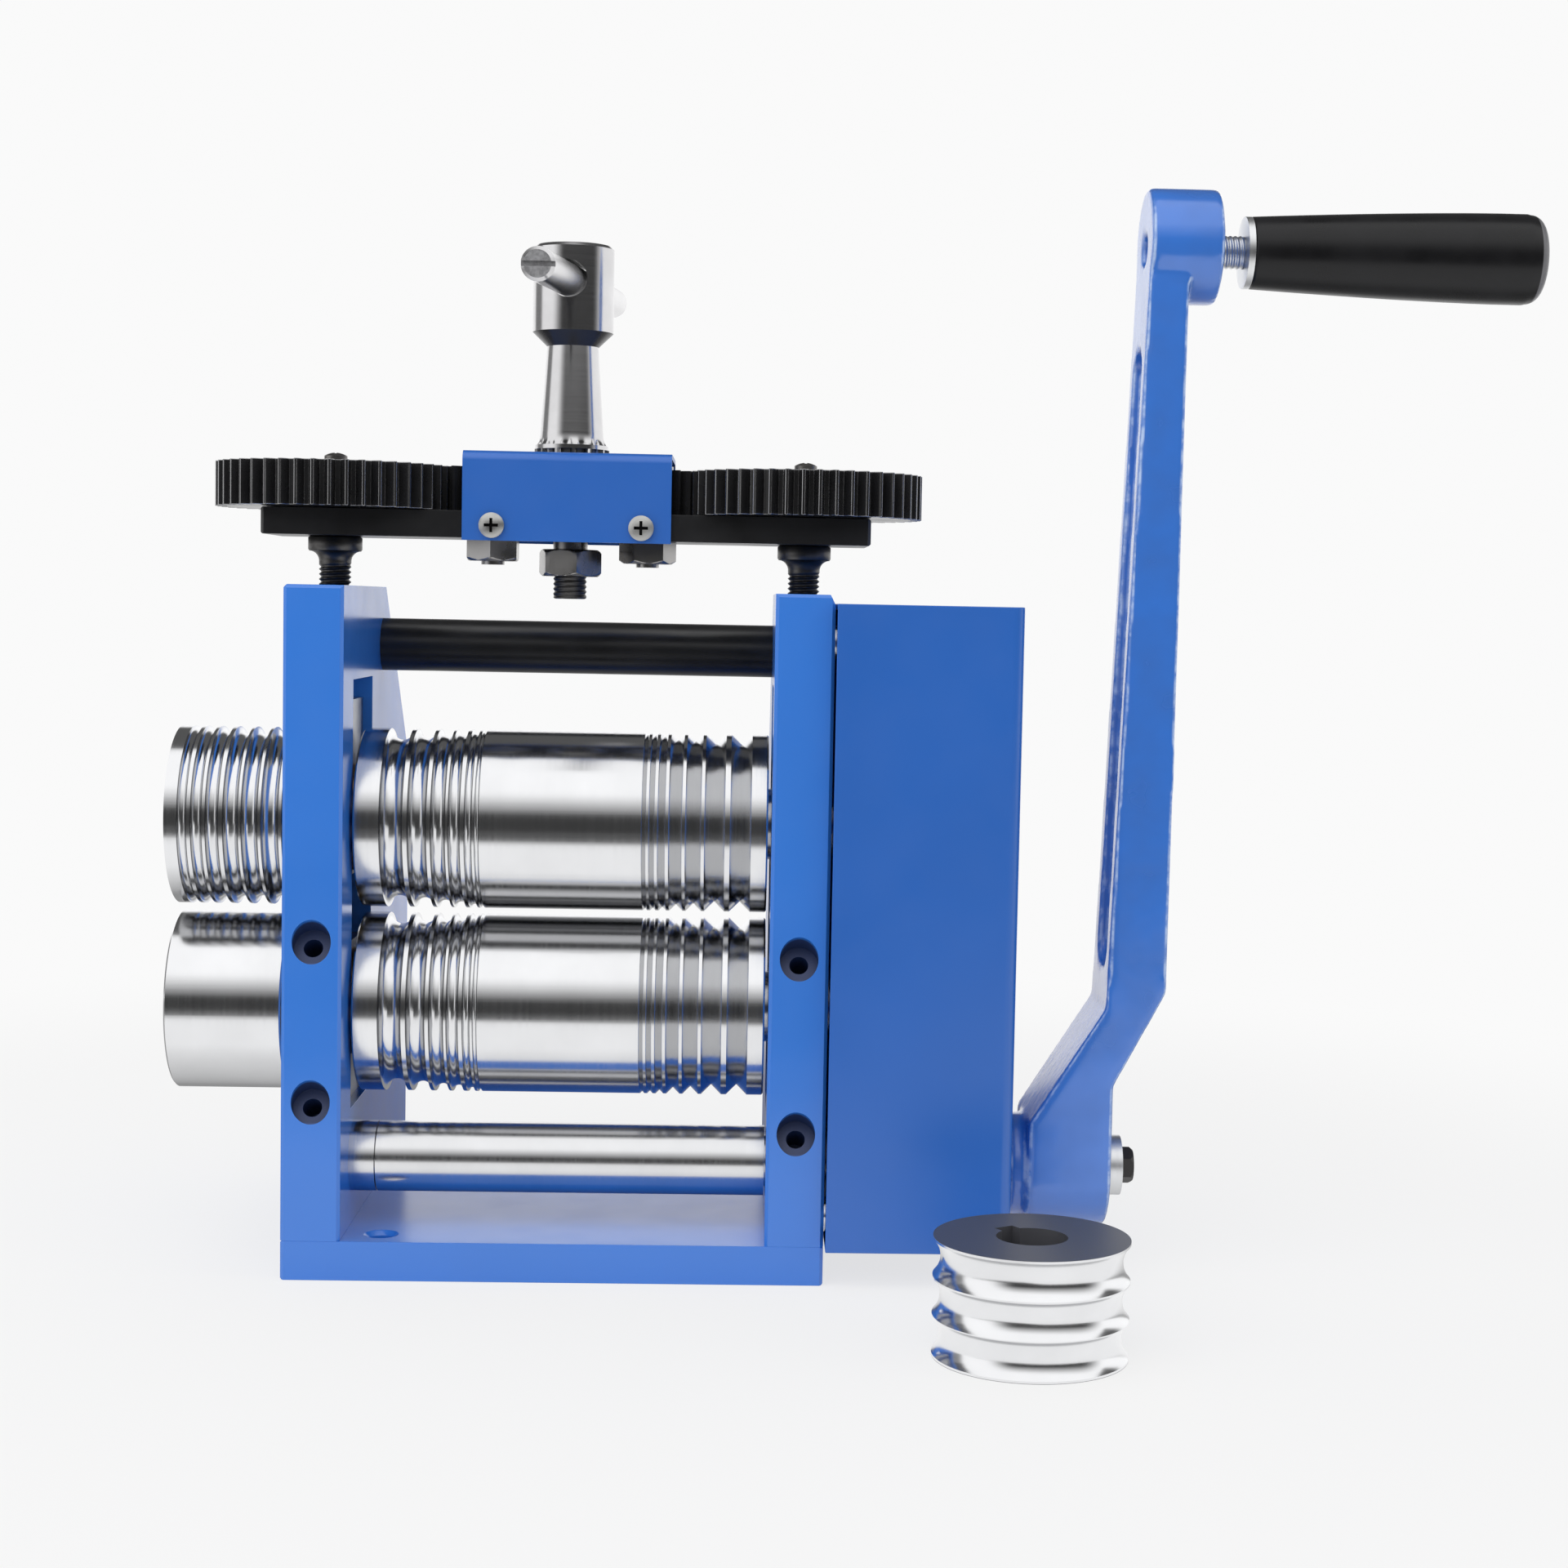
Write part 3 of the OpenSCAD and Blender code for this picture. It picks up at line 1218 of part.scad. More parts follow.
module spare_roll() {
    color("LightSteelBlue") translate([spare_x, spare_y, 0]) difference() {
        cylinder(h = spare_h, d = spare_d);
        for (g = spare_hollow_shares) {
            half = g[1] * spare_h;
            r = (half * half + spare_hollow * spare_hollow) / (2 * spare_hollow);
            rotate_extrude() translate([spare_d / 2 + r - spare_hollow, g[0] * spare_h]) circle(r = r);
        }
        zcyl(seat_d + 2 * seat_gap, -over, spare_h + over);
        rotate([0, 0, 32]) block(-key_w / 2 - seat_gap, key_w / 2 + seat_gap, 0, key_z + key_w / 2,
            -over, spare_h + over);
    }
}

base_plate();
left_side_plate();
right_side_plate();
frame_screws();
upper_tie_bar();
lower_left_block();
lower_right_block();
lower_left_bush();
lower_right_bush();
drive_bushes();
gear_cover();
cover_pillars();
cover_screws();
lower_roll();
lower_side_roll();
lower_side_screw();
lower_roll_keys();
lower_roll_gear();
large_drive_gear();
lower_gear_nut();
upper_left_block();
upper_right_block();
upper_left_bush();
upper_right_bush();
spring_left_front();
spring_left_rear();
spring_right_front();
spring_right_rear();
upper_roll();
upper_side_roll();
upper_side_screw();
upper_roll_keys();
upper_roll_gear();
upper_gear_nut();
drive_shaft();
drive_pinion();
crank_arm();
crank_washer();
crank_bolt();
grip_spindle();
grip_handle();
grip_ferrule();
grip_end_cap();
bridge_bar();
bridge_cover();
bridge_cover_screws();
idler_bolts();
left_pressure_screw();
left_adjusting_gear();
left_gear_screw();
right_pressure_screw();
right_adjusting_gear();
right_gear_screw();
left_idler_gear();
right_idler_gear();
adjusting_handle();
handle_nut();
cross_bar();
spare_roll();
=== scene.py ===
"""Looks of a jewellers' rolling mill: painted frame, polished grooved rolls, cast crank and threaded screws.

Metres. X runs along the rolls towards the crank, Y from the front to the rear, Z up from the bench.
"""

import json
import math

import bmesh
import bpy
import numpy as np
from bpy.props import FloatProperty, FloatVectorProperty, IntProperty, PointerProperty
from mathutils import Matrix, Vector


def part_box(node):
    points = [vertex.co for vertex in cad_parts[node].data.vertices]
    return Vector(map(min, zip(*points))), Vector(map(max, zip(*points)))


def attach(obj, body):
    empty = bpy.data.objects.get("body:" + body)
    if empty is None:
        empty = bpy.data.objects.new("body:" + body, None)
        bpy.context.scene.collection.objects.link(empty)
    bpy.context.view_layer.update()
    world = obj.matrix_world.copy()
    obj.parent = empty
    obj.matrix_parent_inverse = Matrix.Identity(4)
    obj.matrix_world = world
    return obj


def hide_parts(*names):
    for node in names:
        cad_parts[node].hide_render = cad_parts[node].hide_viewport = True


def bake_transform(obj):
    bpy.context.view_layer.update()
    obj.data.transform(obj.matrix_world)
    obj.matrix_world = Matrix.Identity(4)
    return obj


bl_info = {
    "name": "Rolling mill looks",
    "version": (1, 0, 0),
    "blender": (4, 5, 0),
    "location": "View3D > Sidebar > Rolling Mill",
    "description": "Finishes and turned details of a jewellers' rolling mill",
    "category": "Object",
}

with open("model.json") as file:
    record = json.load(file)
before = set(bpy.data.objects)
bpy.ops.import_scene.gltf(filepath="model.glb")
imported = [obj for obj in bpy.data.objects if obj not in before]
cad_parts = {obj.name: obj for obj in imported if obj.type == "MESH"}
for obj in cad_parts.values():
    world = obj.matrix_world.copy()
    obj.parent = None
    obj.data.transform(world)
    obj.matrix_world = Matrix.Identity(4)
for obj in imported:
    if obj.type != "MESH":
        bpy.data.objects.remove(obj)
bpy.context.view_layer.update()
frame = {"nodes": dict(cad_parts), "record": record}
BODY_OF = {node: body for body, nodes in frame["record"]["behaviour"]["bodies"].items() for node in nodes}
JOINT_AT = {j["name"]: Vector(j["pos_m"]) for j in frame["record"]["behaviour"]["joints"]}
MM = 0.001
UP, ALONG = (0, 0, 1), (1, 0, 0)
SPRINGS = ("spring_left_front", "spring_left_rear", "spring_right_front", "spring_right_rear")

# Facets round a fastener, the stem's foot, the grip and a spring's wire, and along one turn of a spring
ROUND_STEPS, FOOT_STEPS, GRIP_STEPS, WIRE_STEPS, TURN_STEPS = 72, 156, 96, 12, 26

# Copies of nodes: points closer than this are one, faces that turn by less (degrees) are one, a face with
# more corners is split, and an edge that turns by more (degrees) is sharp
MERGE_GAP, FLAT_ANGLE, MANY_CORNERS, SHARP_ANGLE = 2e-6, 0.6, 120, 32.0

# Camera: its place, its turns to the side, up and round its own axis in radians, and its lens's shift
CAMERA_AT = (0.044946, -0.6809, 0.165946)
CAMERA_TURNS = (0.0338, -0.0694, 0.020)
CAMERA_SHIFT = (-0.0308, 0.0006)

# Way to the middle of the unlit side of the room in front, as bare metal mirrors it
UNLIT_WAY = (0.309, -0.951, 0)


def middle_of(node):
    """Middle of a node's box."""
    low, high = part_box(node)
    return (low + high) / 2


def below(node):
    """Point at the height of the bench, straight below a node's middle."""
    centre = middle_of(node)
    return centre.x, centre.y, 0


def node_object(node):
    """The object that shows a node of the frame."""
    return frame["nodes"][node]


# Sizes and colours


def length(name, description, default, low, high, precision=5):
    """A length that can be set, given here in millimetres."""
    return FloatProperty(name=name, description=description, default=default * MM, min=low * MM,
                         max=high * MM, unit="LENGTH", precision=precision)


def colour(name, description, default):
    """A colour that can be set."""
    return FloatVectorProperty(name=name, description=description, subtype="COLOR", size=3, min=0, max=1,
                               default=default)


class PaintSettings(bpy.types.PropertyGroup):
    """Colours of the enamel."""

    plate_blue: colour("Plate blue", "Enamel on the base and the side plates", (0.034, 0.2, 0.71))
    sheet_blue: colour("Sheet blue", "Enamel on the gear cover and the bridge cover", (0.010, 0.127, 0.53))
    cast_blue: colour("Casting blue", "Enamel on the cast crank", (0.03, 0.17, 0.63))
    orange_peel: length("Orange peel", "Depth of the enamel's slight waviness", 0.006, 0, 1, 6)
    sand_grain: length("Sand grain", "Depth of the casting's sand texture", 0.3, 0, 2, 6)


class SteelSettings(bpy.types.PropertyGroup):
    """Finish of the bare metal."""

    roll_grey: colour("Roll grey", "Reflection colour of the polished rolls", (0.85, 0.855, 0.87))
    handle_grey: colour("Handle grey", "Reflection colour of the turned handle", (0.68, 0.675, 0.685))
    line_depth: length("Grinding lines", "Depth of the fine lines left by turning and grinding",
                       0.0012, 0, 0.1, 6)


class ThreadSettings(bpy.types.PropertyGroup):
    """Sizes of the cut threads."""

    pitch: length("Pitch", "Distance between thread crests", 1.25, 0.5, 3)
    depth: length("Depth", "Depth of the pressure screws' thread below its crest", 0.55, 0.1, 1.5)
    steps: IntProperty(name="Steps", description="Facets round a thread", default=56, min=24, max=96)


class SpringSettings(bpy.types.PropertyGroup):
    """Sizes of the lift springs."""

    coil_d: length("Coil diameter", "Outer diameter of a lift spring", 6.5, 4, 9)
    wire_d: length("Wire diameter", "Thickness of the spring wire", 1.1, 0.5, 2)
    turns: IntProperty(name="Turns", description="Turns of a lift spring", default=5, min=3, max=9)


class HandleSettings(bpy.types.PropertyGroup):
    """Foot of the T-handle's stem, where its teeth run out."""

    stem_low: length("Stem foot", "Height of the stem's foot over the underside of the bridge",
                     23.7, 10, 40)
    stem_d: length("Stem diameter", "Diameter of the stem at its foot", 16.1, 8, 24)
    flare: length("Flare", "How far the foot flares out", 0.8, 0, 3)
    flare_h: length("Flare height", "Height of the flare", 3.2, 0.5, 6)
    teeth: IntProperty(name="Teeth", description="Teeth of the handle's gear", default=13, min=8, max=24)


class FastenerSettings(bpy.types.PropertyGroup):
    """Sizes of the hexagon bolts and of the nut below the bridge."""

    bolt_flats: length("Bolt flats", "Width across the flats of a bolt head", 12.4, 8, 16)
    bolt_head: length("Bolt head", "Height of a bolt head", 5.4, 3, 8)
    bolt_step: length("Bolt step", "Height of the round step below a bolt head", 0.9, 0.2, 2)
    nut_flats: length("Nut flats", "Width across the flats of the nut", 14.2, 8, 20)
    nut_height: length("Nut height", "Height of the nut", 6.7, 3, 10)
    chamfer: length("Chamfer", "Height of the cone that takes off the corners", 0.9, 0.2, 2)


class GripSettings(bpy.types.PropertyGroup):
    """Shape of the crank grip."""

    end_round: length("End rounding", "Radius of the rounded outer end", 3.2, 0.5, 6)
    swell: FloatProperty(
        name="Swell", description="Share of the grip's length where it reaches its full diameter",
        default=0.9, min=0.5, max=0.95, subtype="FACTOR")
    rim: length("Rim", "Length of the paler rounded rim at the outer end", 2.2, 0.5, 6)


class StageSettings(bpy.types.PropertyGroup):
    """Camera and light."""

    lens: FloatProperty(
        name="Lens", description="Focal length for a 36 mm wide sensor",
        default=59.25, min=20, max=200, unit="CAMERA")
    light: FloatProperty(
        name="Light", description="Power of the main soft light", default=5.6, min=0, max=200, unit="POWER")
    room: FloatProperty(
        name="Room light", description="Strength of the even light from all round", default=0.7, min=0,
        max=3)
    white: FloatProperty(
        name="White", description="Level of the white background", default=0.955, min=0, max=1,
        subtype="FACTOR")
    gloom: FloatProperty(
        name="Gloom", description="Level of the unlit side of the room that bare metal mirrors",
        default=0.04, min=0, max=1, subtype="FACTOR")
    table_edge: FloatProperty(
        name="Table edge", description="Place of the white table's front edge, as bare metal mirrors it",
        default=-0.27, min=-1, max=0, unit="LENGTH")
    table_slant: FloatProperty(
        name="Table slant", description="How far the table's front edge comes forward to the right",
        default=3.0, min=0, max=10)


def settings(name):
    """A group of settings of the scene."""
    return getattr(bpy.context.scene, name)


# Meshes from arrays


def mesh_piece(name, points, faces, body, finish, smooth_angle=35.0):
    """Object from an array of points and lists of faces, shaded smooth under the given angle."""
    mesh = bpy.data.meshes.new(name)
    mesh.from_pydata(np.asarray(points).reshape(-1, 3).tolist(), [], faces)
    mesh.polygons.foreach_set("use_smooth", np.ones(len(mesh.polygons), dtype=bool))
    mesh.set_sharp_from_angle(angle=math.radians(smooth_angle))
    mesh.materials.append(finish)
    mesh.update()
    piece = bpy.data.objects.new(name, mesh)
    bpy.context.scene.collection.objects.link(piece)
    if body:
        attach(piece, body)
    return piece


def grid_faces(rows, columns, closed_rows=False):
    """Quads of a grid whose columns run in a closed ring, and whose rows may close too."""
    i = np.arange(rows if closed_rows else rows - 1)[:, None]
    j = np.arange(columns)[None, :]
    up, side = (i + 1) % rows, (j + 1) % columns
    quads = np.stack(np.broadcast_arrays(
        i * columns + j, i * columns + side, up * columns + side, up * columns + j), axis=-1)
    return quads.reshape(-1, 4).tolist()


def turned(name, radii, lengths, centre, axis, body, finish, steps=ROUND_STEPS, closed=False,
           smooth_angle=35.0):
    """A profile (radius, length along the axis) turned round the axis:
    P = c + l a + r (cos t u + sin t v)."""
    a = np.array(axis, dtype=float)
    u = np.array((0.0, 1.0, 0.0) if abs(a[0]) > 0.5 else (1.0, 0.0, 0.0))
    v = np.cross(a, u)
    t = np.linspace(0, 2 * np.pi, steps, endpoint=False)
    ring = np.cos(t)[:, None] * u + np.sin(t)[:, None] * v
    r, l = np.asarray(radii, dtype=float), np.asarray(lengths, dtype=float)
    if r.ndim == 1:
        r = np.repeat(r[:, None], steps, axis=1)
    points = np.array(centre)[None, None] + l[:, None, None] * a + r[:, :, None] * ring[None]
    faces = grid_faces(len(l), steps, closed)
    if not closed:
        faces += [list(range(steps))[::-1], [(len(l) - 1) * steps + k for k in range(steps)]]
    return mesh_piece(name, points, faces, body, finish, smooth_angle)


def thread_radii(lengths, core, crest, steps, low, high, pitch, depth):
    """Radius at each height and angle: the plain profile, less a triangle wave of length minus turn inside
    the thread."""
    t = np.linspace(0, 1, steps, endpoint=False)
    wave = (lengths[:, None] / pitch - t[None, :]) % 1.0
    tooth = np.clip(np.abs(2 * wave - 1) * 1.35 - 0.12, 0, 1)
    fade = np.clip((lengths - low) / pitch, 0, 1) * np.clip((high - lengths) / pitch, 0, 1)
    return core[:, None] - depth * tooth * fade[:, None] * (core[:, None] <= crest + 1e-6)


def merged_copy(node, name, finish):
    """A copy of a node with its doubles merged and its flat faces joined. Faces with very many corners are
    split again, because they shade badly."""
    form = bmesh.new()
    form.from_mesh(node_object(node).data)
    bmesh.ops.remove_doubles(form, verts=form.verts, dist=MERGE_GAP)
    bmesh.ops.dissolve_limit(form, angle_limit=math.radians(FLAT_ANGLE), verts=form.verts, edges=form.edges)
    bmesh.ops.triangulate(form, faces=[f for f in form.faces if len(f.verts) > MANY_CORNERS])
    mesh = bpy.data.meshes.new(name)
    form.to_mesh(mesh)
    form.free()
    mesh.materials.clear()
    mesh.materials.append(finish)
    mesh.polygons.foreach_set("use_smooth", np.ones(len(mesh.polygons), dtype=bool))
    piece = bpy.data.objects.new(name, mesh)
    bpy.context.scene.collection.objects.link(piece)
    return piece


def eased_copy(node, name, width, finish, rubbed=None):
    """A merged copy that stands for a node, its sharp edges rounded, and rubbed bright if asked: a paler
    metal on the roundings, partly wear and partly a painted highlight.
    """
    piece = merged_copy(node, name, finish)
    ease = piece.modifiers.new("eased edges", "BEVEL")
    ease.width, ease.segments, ease.limit_method = width, 2, "ANGLE"
    ease.angle_limit = math.radians(SHARP_ANGLE)
    if rubbed:
        piece.data.materials.append(rubbed)
        ease.material = 1
    even = piece.modifiers.new("even shading", "WEIGHTED_NORMAL")
    even.mode, even.weight, even.keep_sharp = "FACE_AREA", 80, False
    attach(piece, BODY_OF[node])
    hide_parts(node)
    return piece


# Finishes

# Colours of marks: painted shade in the plates' bores, the screws' recesses and under the handle, painted
# highlights on the casting's pits and edges, the sawn bar ends, the spare roll's darker ends and bore, and
# the grip's rim, paler partly in its own colour and partly as a painted sheen
BORE_SHADE_BLUE, LUMP_HIGHLIGHT, EDGE_HIGHLIGHT = (0.007, 0.024, 0.1), (0.12, 0.3, 0.8), (0.55, 0.7, 0.95)
RECESS_SHADE, UNDERSIDE_SHADE, SAWN_GREY = (0.03, 0.03, 0.03), (0.045, 0.044, 0.045), (0.3, 0.3, 0.31)
END_AND_BORE_GREY, RIM_GREY = (0.1, 0.102, 0.115), (0.16, 0.16, 0.17)


def new_finish(name, colour, roughness, metallic=0.0, gloss=0.5):
    """A material with its even values on the shader's own sockets, its shader, and the place on the object
    to read from."""
    finish = bpy.data.materials.new(name)
    finish.use_nodes = True
    tree = finish.node_tree
    shader = tree.nodes["Principled BSDF"]
    for key, value in (("Base Color", (*colour, 1)), ("Roughness", roughness), ("Metallic", metallic),
                       ("Specular IOR Level", gloss)):
        shader.inputs[key].default_value = value
    return finish, shader, tree.nodes.new("ShaderNodeTexCoord")


def node_value(tree, kind, inputs, output, **options):
    """What a new shader node gives, with its options set and its inputs set or linked."""
    node = tree.nodes.new("ShaderNode" + kind)
    for key, value in options.items():
        setattr(node, key, value)
    for key, value in inputs.items():
        if isinstance(value, bpy.types.NodeSocket):
            tree.links.new(value, node.inputs[key])
        else:
            node.inputs[key].default_value = value
    return node.outputs[output]


def connect(value, node, name):
    """Links a value to an input of a node."""
    value.id_data.links.new(value, node.inputs[name])


def grain(place, scale, stretch=(1, 1, 1), detail=4.0, rough=0.55):
    """Noise with the given number of spots a metre, stretched along an axis where the factor is small."""
    tree = place.id_data
    at = node_value(tree, "Mapping", {"Scale": [scale * s for s in stretch],
                                      "Vector": place.outputs["Object"]}, "Vector")
    return node_value(tree, "TexNoise", {"Scale": 1.0, "Detail": detail, "Roughness": rough, "Vector": at},
                      "Fac")


def spread(value, low, high, start, end, soft=False):
    """A value between two limits, carried to two others, evenly or with soft ends."""
    inputs = {"Value": value, "From Min": low, "From Max": high, "To Min": start, "To Max": end}
    return node_value(value.id_data, "MapRange", inputs, "Result",
                      interpolation_type="SMOOTHSTEP" if soft else "LINEAR")


def sum_up(kind, one, two):
    """Two values put together by a kind of sum; the second may be a plain number."""
    return node_value(one.id_data, "Math", {0: one, 1: two}, "Value", operation=kind)


def part_of(vector, axis):
    """One coordinate of a vector."""
    return node_value(vector.id_data, "SeparateXYZ", {"Vector": vector}, axis)


def vector_value(kind, vector, other=(0, 0, 0)):
    """The length of a vector, or its dot product with a fixed one."""
    return node_value(vector.id_data, "VectorMath", {0: vector, 1: other}, "Value", operation=kind)


def between(factor, one, two):
    """A value running from one to the other with a factor; either may be a plain number."""
    return node_value(factor.id_data, "Mix", {"Factor": factor, "A": one, "B": two}, "Result")


def blended(factor, one, two):
    """A colour running from one to the other with a factor; either may be a socket."""
    one, two = (c if isinstance(c, bpy.types.NodeSocket) else (*c, 1) for c in (one, two))
    return node_value(factor.id_data, "Mix", {"Factor": factor, "A": one, "B": two}, "Result",
                      data_type="RGBA")


def shade(shader, value, dark, light):
    """Base colour running with a value from dark, or from the colour it has, to light."""
    base = shader.inputs["Base Color"]
    if dark is None:
        dark = base.links[0].from_socket if base.links else base.default_value[:3]
    connect(blended(value, dark, light), shader, "Base Color")


def relief(shader, layers):
    """Bump of one or more heights, each a socket with its depth in metres."""
    normal = {}
    for height, depth in layers:
        inputs = {"Strength": 1.0, "Distance": depth, "Height": height, **normal}
        normal = {"Normal": node_value(shader.id_data, "Bump", inputs, "Normal")}
    connect(normal["Normal"], shader, "Normal")


def times(colour, factor):
    """A colour made lighter or darker."""
    return [min(1.0, c * factor) for c in colour]


def enamel(name, colour, peel, roughness=0.2):
    """Smooth glossy enamel: slight changes in its depth of colour and gloss, and a fine orange peel."""
    finish, shader, place = new_finish(name, colour, roughness, gloss=0.9)
    cloud = spread(grain(place, 22, detail=2), 0.3, 0.7, 0, 1)
    shade(shader, cloud, times(colour, 0.97), times(colour, 1.03))
    gloss = spread(grain(place, 90, detail=2), 0.3, 0.7, roughness - 0.02, roughness + 0.03)
    connect(gloss, shader, "Roughness")
    relief(shader, [(grain(place, 480, detail=1, rough=0.4), peel), (grain(place, 40, detail=1), peel * 5)])
    return finish


def casting(name, colour, depth):
    """Enamel over a sand casting: smooth where it was ground, full of pits on the sides left as cast, with a
    painted highlight on the peaks of the pits and a pale painted highlight along the rough edges between
    them."""
    finish, shader, place = new_finish(name, colour, 0.24, gloss=0.9)
    shader.inputs["Coat Weight"].default_value = 0.8
    shader.inputs["Coat Roughness"].default_value = 0.16
    facing = place.outputs["Normal"]
    across, deep = (sum_up("ABSOLUTE", part_of(facing, axis), 0) for axis in "XY")
    as_cast = spread(across, 0.3, 0.75, 0, 1)
    lumps = grain(place, 420, detail=4, rough=0.6)
    swells = grain(place, 80, detail=2)
    shade(shader, spread(swells, 0.3, 0.7, 0, 1), times(colour, 0.94), times(colour, 1.08))
    # Painted highlight: the peaks of the pits on the sides left as cast are paled, as if they caught the
    # white surroundings
    high = spread(lumps, 0.45, 0.65, 0, 0.3)
    shade(shader, sum_up("MULTIPLY", high, as_cast), None, LUMP_HIGHLIGHT)
    # Painted highlight: a pale, broken line along the rounded edges between the ground front and the sides
    # left as cast
    edge = spread(sum_up("MULTIPLY", across, deep), 0.3, 0.47, 0, 1)
    highlight_breakup = spread(grain(place, 300, detail=3), 0.4, 0.62, 0.14, 0.75)
    shade(shader, sum_up("MULTIPLY", edge, highlight_breakup), None, EDGE_HIGHLIGHT)
    connect(spread(swells, 0.3, 0.7, 0.28, 0.2), shader, "Roughness")
    rough = sum_up("MULTIPLY", lumps, as_cast)
    relief(shader, [(swells, depth * 0.8), (rough, depth)])
    return finish


def lathe_steel(name, colour, roughness, axis, depth, lines=2600.0, stain=0.05, streaks=0.0):
    """Bare metal with fine lines round an axis: noise that changes along the axis and hardly across it.
    Polishing leaves streaks the other way, from a second noise that hardly changes along the axis."""
    finish, shader, place = new_finish(name, colour, roughness, metallic=1.0)
    stretch = [0.012, 0.012, 0.012]
    stretch["xyz".index(axis)] = 1.0
    ring = grain(place, lines, stretch, detail=3, rough=0.7)
    cloud = spread(grain(place, 60, detail=4), 0.3, 0.72, 0, 1)
    shade(shader, cloud, times(colour, 1 - stain), times(colour, 1 + stain * 0.5))
    connect(spread(ring, 0.3, 0.7, roughness * 0.85, roughness * 1.2), shader, "Roughness")
    layers = [(ring, depth)]
    if streaks:
        lengthwise = [0.02 if s == 1.0 else 1.0 for s in stretch]
        layers.append((grain(place, 420, lengthwise, detail=3, rough=0.6), streaks))
    relief(shader, layers)
    return finish


def milled_steel(name, colour, roughness, depth, stain=0.12):
    """Flat machined metal: short crossed scratches and a cloudy stain."""
    finish, shader, place = new_finish(name, colour, roughness, metallic=1.0)
    one = grain(place, 1500, (0.05, 1, 1), detail=3)
    two = grain(place, 1500, (1, 1, 0.05), detail=3)
    cloud = grain(place, 120, detail=5)
    stained = spread(cloud, 0.32, 0.7, 0, 1)
    shade(shader, stained, times(colour, 1 - stain), times(colour, 1 + stain * 0.4))
    connect(spread(cloud, 0.3, 0.7, roughness * 0.8, roughness * 1.3), shader, "Roughness")
    relief(shader, [(one, depth), (two, depth)])
    return finish


def black_finish(name, colour, roughness, depth, spots=900.0, gloss=0.5):
    """Blackened steel or moulded black: fine even grain, with rubbed and dull patches in the roughness."""
    finish, shader, place = new_finish(name, colour, roughness, gloss=gloss)
    fine = grain(place, spots, detail=4)
    cloud = grain(place, 85, detail=4)
    shade(shader, spread(cloud, 0.3, 0.75, 0, 1), times(colour, 0.8), times(colour, 1.4))
    connect(spread(cloud, 0.3, 0.7, roughness * 0.85, roughness * 1.2), shader, "Roughness")
    relief(shader, [(fine, depth)])
    return finish


def shader_of(finish):
    """The shader of a finish, and a new place on the object to read from."""
    tree = finish.node_tree
    return tree.nodes["Principled BSDF"], tree.nodes.new("ShaderNodeTexCoord")


def from_point(place, point, mirrored=()):
    """Distances from a point along X, Y and Z; a mirrored one is the same on both sides of the point."""
    out = []
    for k, axis in enumerate("XYZ"):
        value = sum_up("SUBTRACT", part_of(place.outputs["Object"], axis), point[k])
        out.append(sum_up("ABSOLUTE", value, 0) if axis in mirrored else value)
    return out


def distance(one, two):
    """Length of the way with the two given sides."""
    squares = sum_up("MULTIPLY", one, one), sum_up("MULTIPLY", two, two)
    return sum_up("SQRT", sum_up("ADD", *squares), 0)


def wear(shader, where, roughness=None, metallic=None):
    """Another roughness, or a weaker metal, where a value is one."""
    if roughness is not None:
        before = shader.inputs["Roughness"].links[0].from_socket
        connect(between(where, before, roughness), shader, "Roughness")
    if metallic is not None:
        connect(spread(where, 0, 1, 1, metallic), shader, "Metallic")


def darker_ends_and_bore(node, finish, colour):
    """Darkens a ring's flat ends and its bore: where the height is near either end, or the radius near the
    bore's."""
    shader, place = shader_of(finish)
    x, y, z = from_point(place, middle_of(node), "Z")
    low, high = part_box(node)
    half = (high.z - low.z) / 2
    at_end = spread(z, half - 0.12 * MM, half - 0.04 * MM, 0, 1)
    in_bore = spread(distance(x, y), 11.5 * MM, 12.0 * MM, 1, 0)
    dark = sum_up("MAXIMUM", at_end, in_bore)
    wear(shader, dark, 0.42, 0.3)
    shade(shader, dark, None, colour)


def shaded_recess(node, finish, head_d):
    """Paints shade into the cross recesses of the screws in the front and the rear of a cover: darker deep
    below the head, near its axis."""
    shader, place = shader_of(finish)
    low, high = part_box(node)
    x, y, z = from_point(place, middle_of(node), "XY")
    aside = sum_up("SUBTRACT", x, (high.x - low.x - head_d) / 2)
    face = (high.y - low.y) / 2
    deep = spread(y, face - 0.9 * MM, face - 0.35 * MM, 1, 0)
    near = spread(distance(aside, z), 2.0 * MM, 2.3 * MM, 1, 0)
    # Painted shade: the recess turns dark where light hardly reaches into it
    shade(shader, sum_up("MULTIPLY", deep, near), None, RECESS_SHADE)


def shaded_bores(nodes, finish, colour):
    """Paints shade into the screw bores in the front edges of the side plates: darker inside the plate's
    thickness, between the edge and the window behind it, and clear of the plate's top and foot."""
    shader, place = shader_of(finish)
    marks = []
    for node in nodes:
        low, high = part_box(node)
        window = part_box("lower_left_block")[0].y - low.y
        x, y, z = from_point(place, middle_of(node), "XZ")
        half = (high - low) / 2
        inside = spread(x, half.x - 1.0 * MM, half.x - 0.8 * MM, 1, 0)
        deep = sum_up("ADD", y, half.y)
        sunk = sum_up("MULTIPLY", spread(deep, 0.35 * MM, 1.6 * MM, 0, 1),
                      spread(deep, window - 0.5 * MM, window - 0.3 * MM, 1, 0))
        clear = spread(z, half.z - 4 * MM, half.z - 3 * MM, 1, 0)
        marks.append(sum_up("MULTIPLY", sum_up("MULTIPLY", inside, sunk), clear))
    dark = sum_up("MAXIMUM", *marks)
    # Painted shade: the bores turn a darker blue where little light reaches into them
    shade(shader, dark, None, colour)
    wear(shader, dark, roughness=0.5)


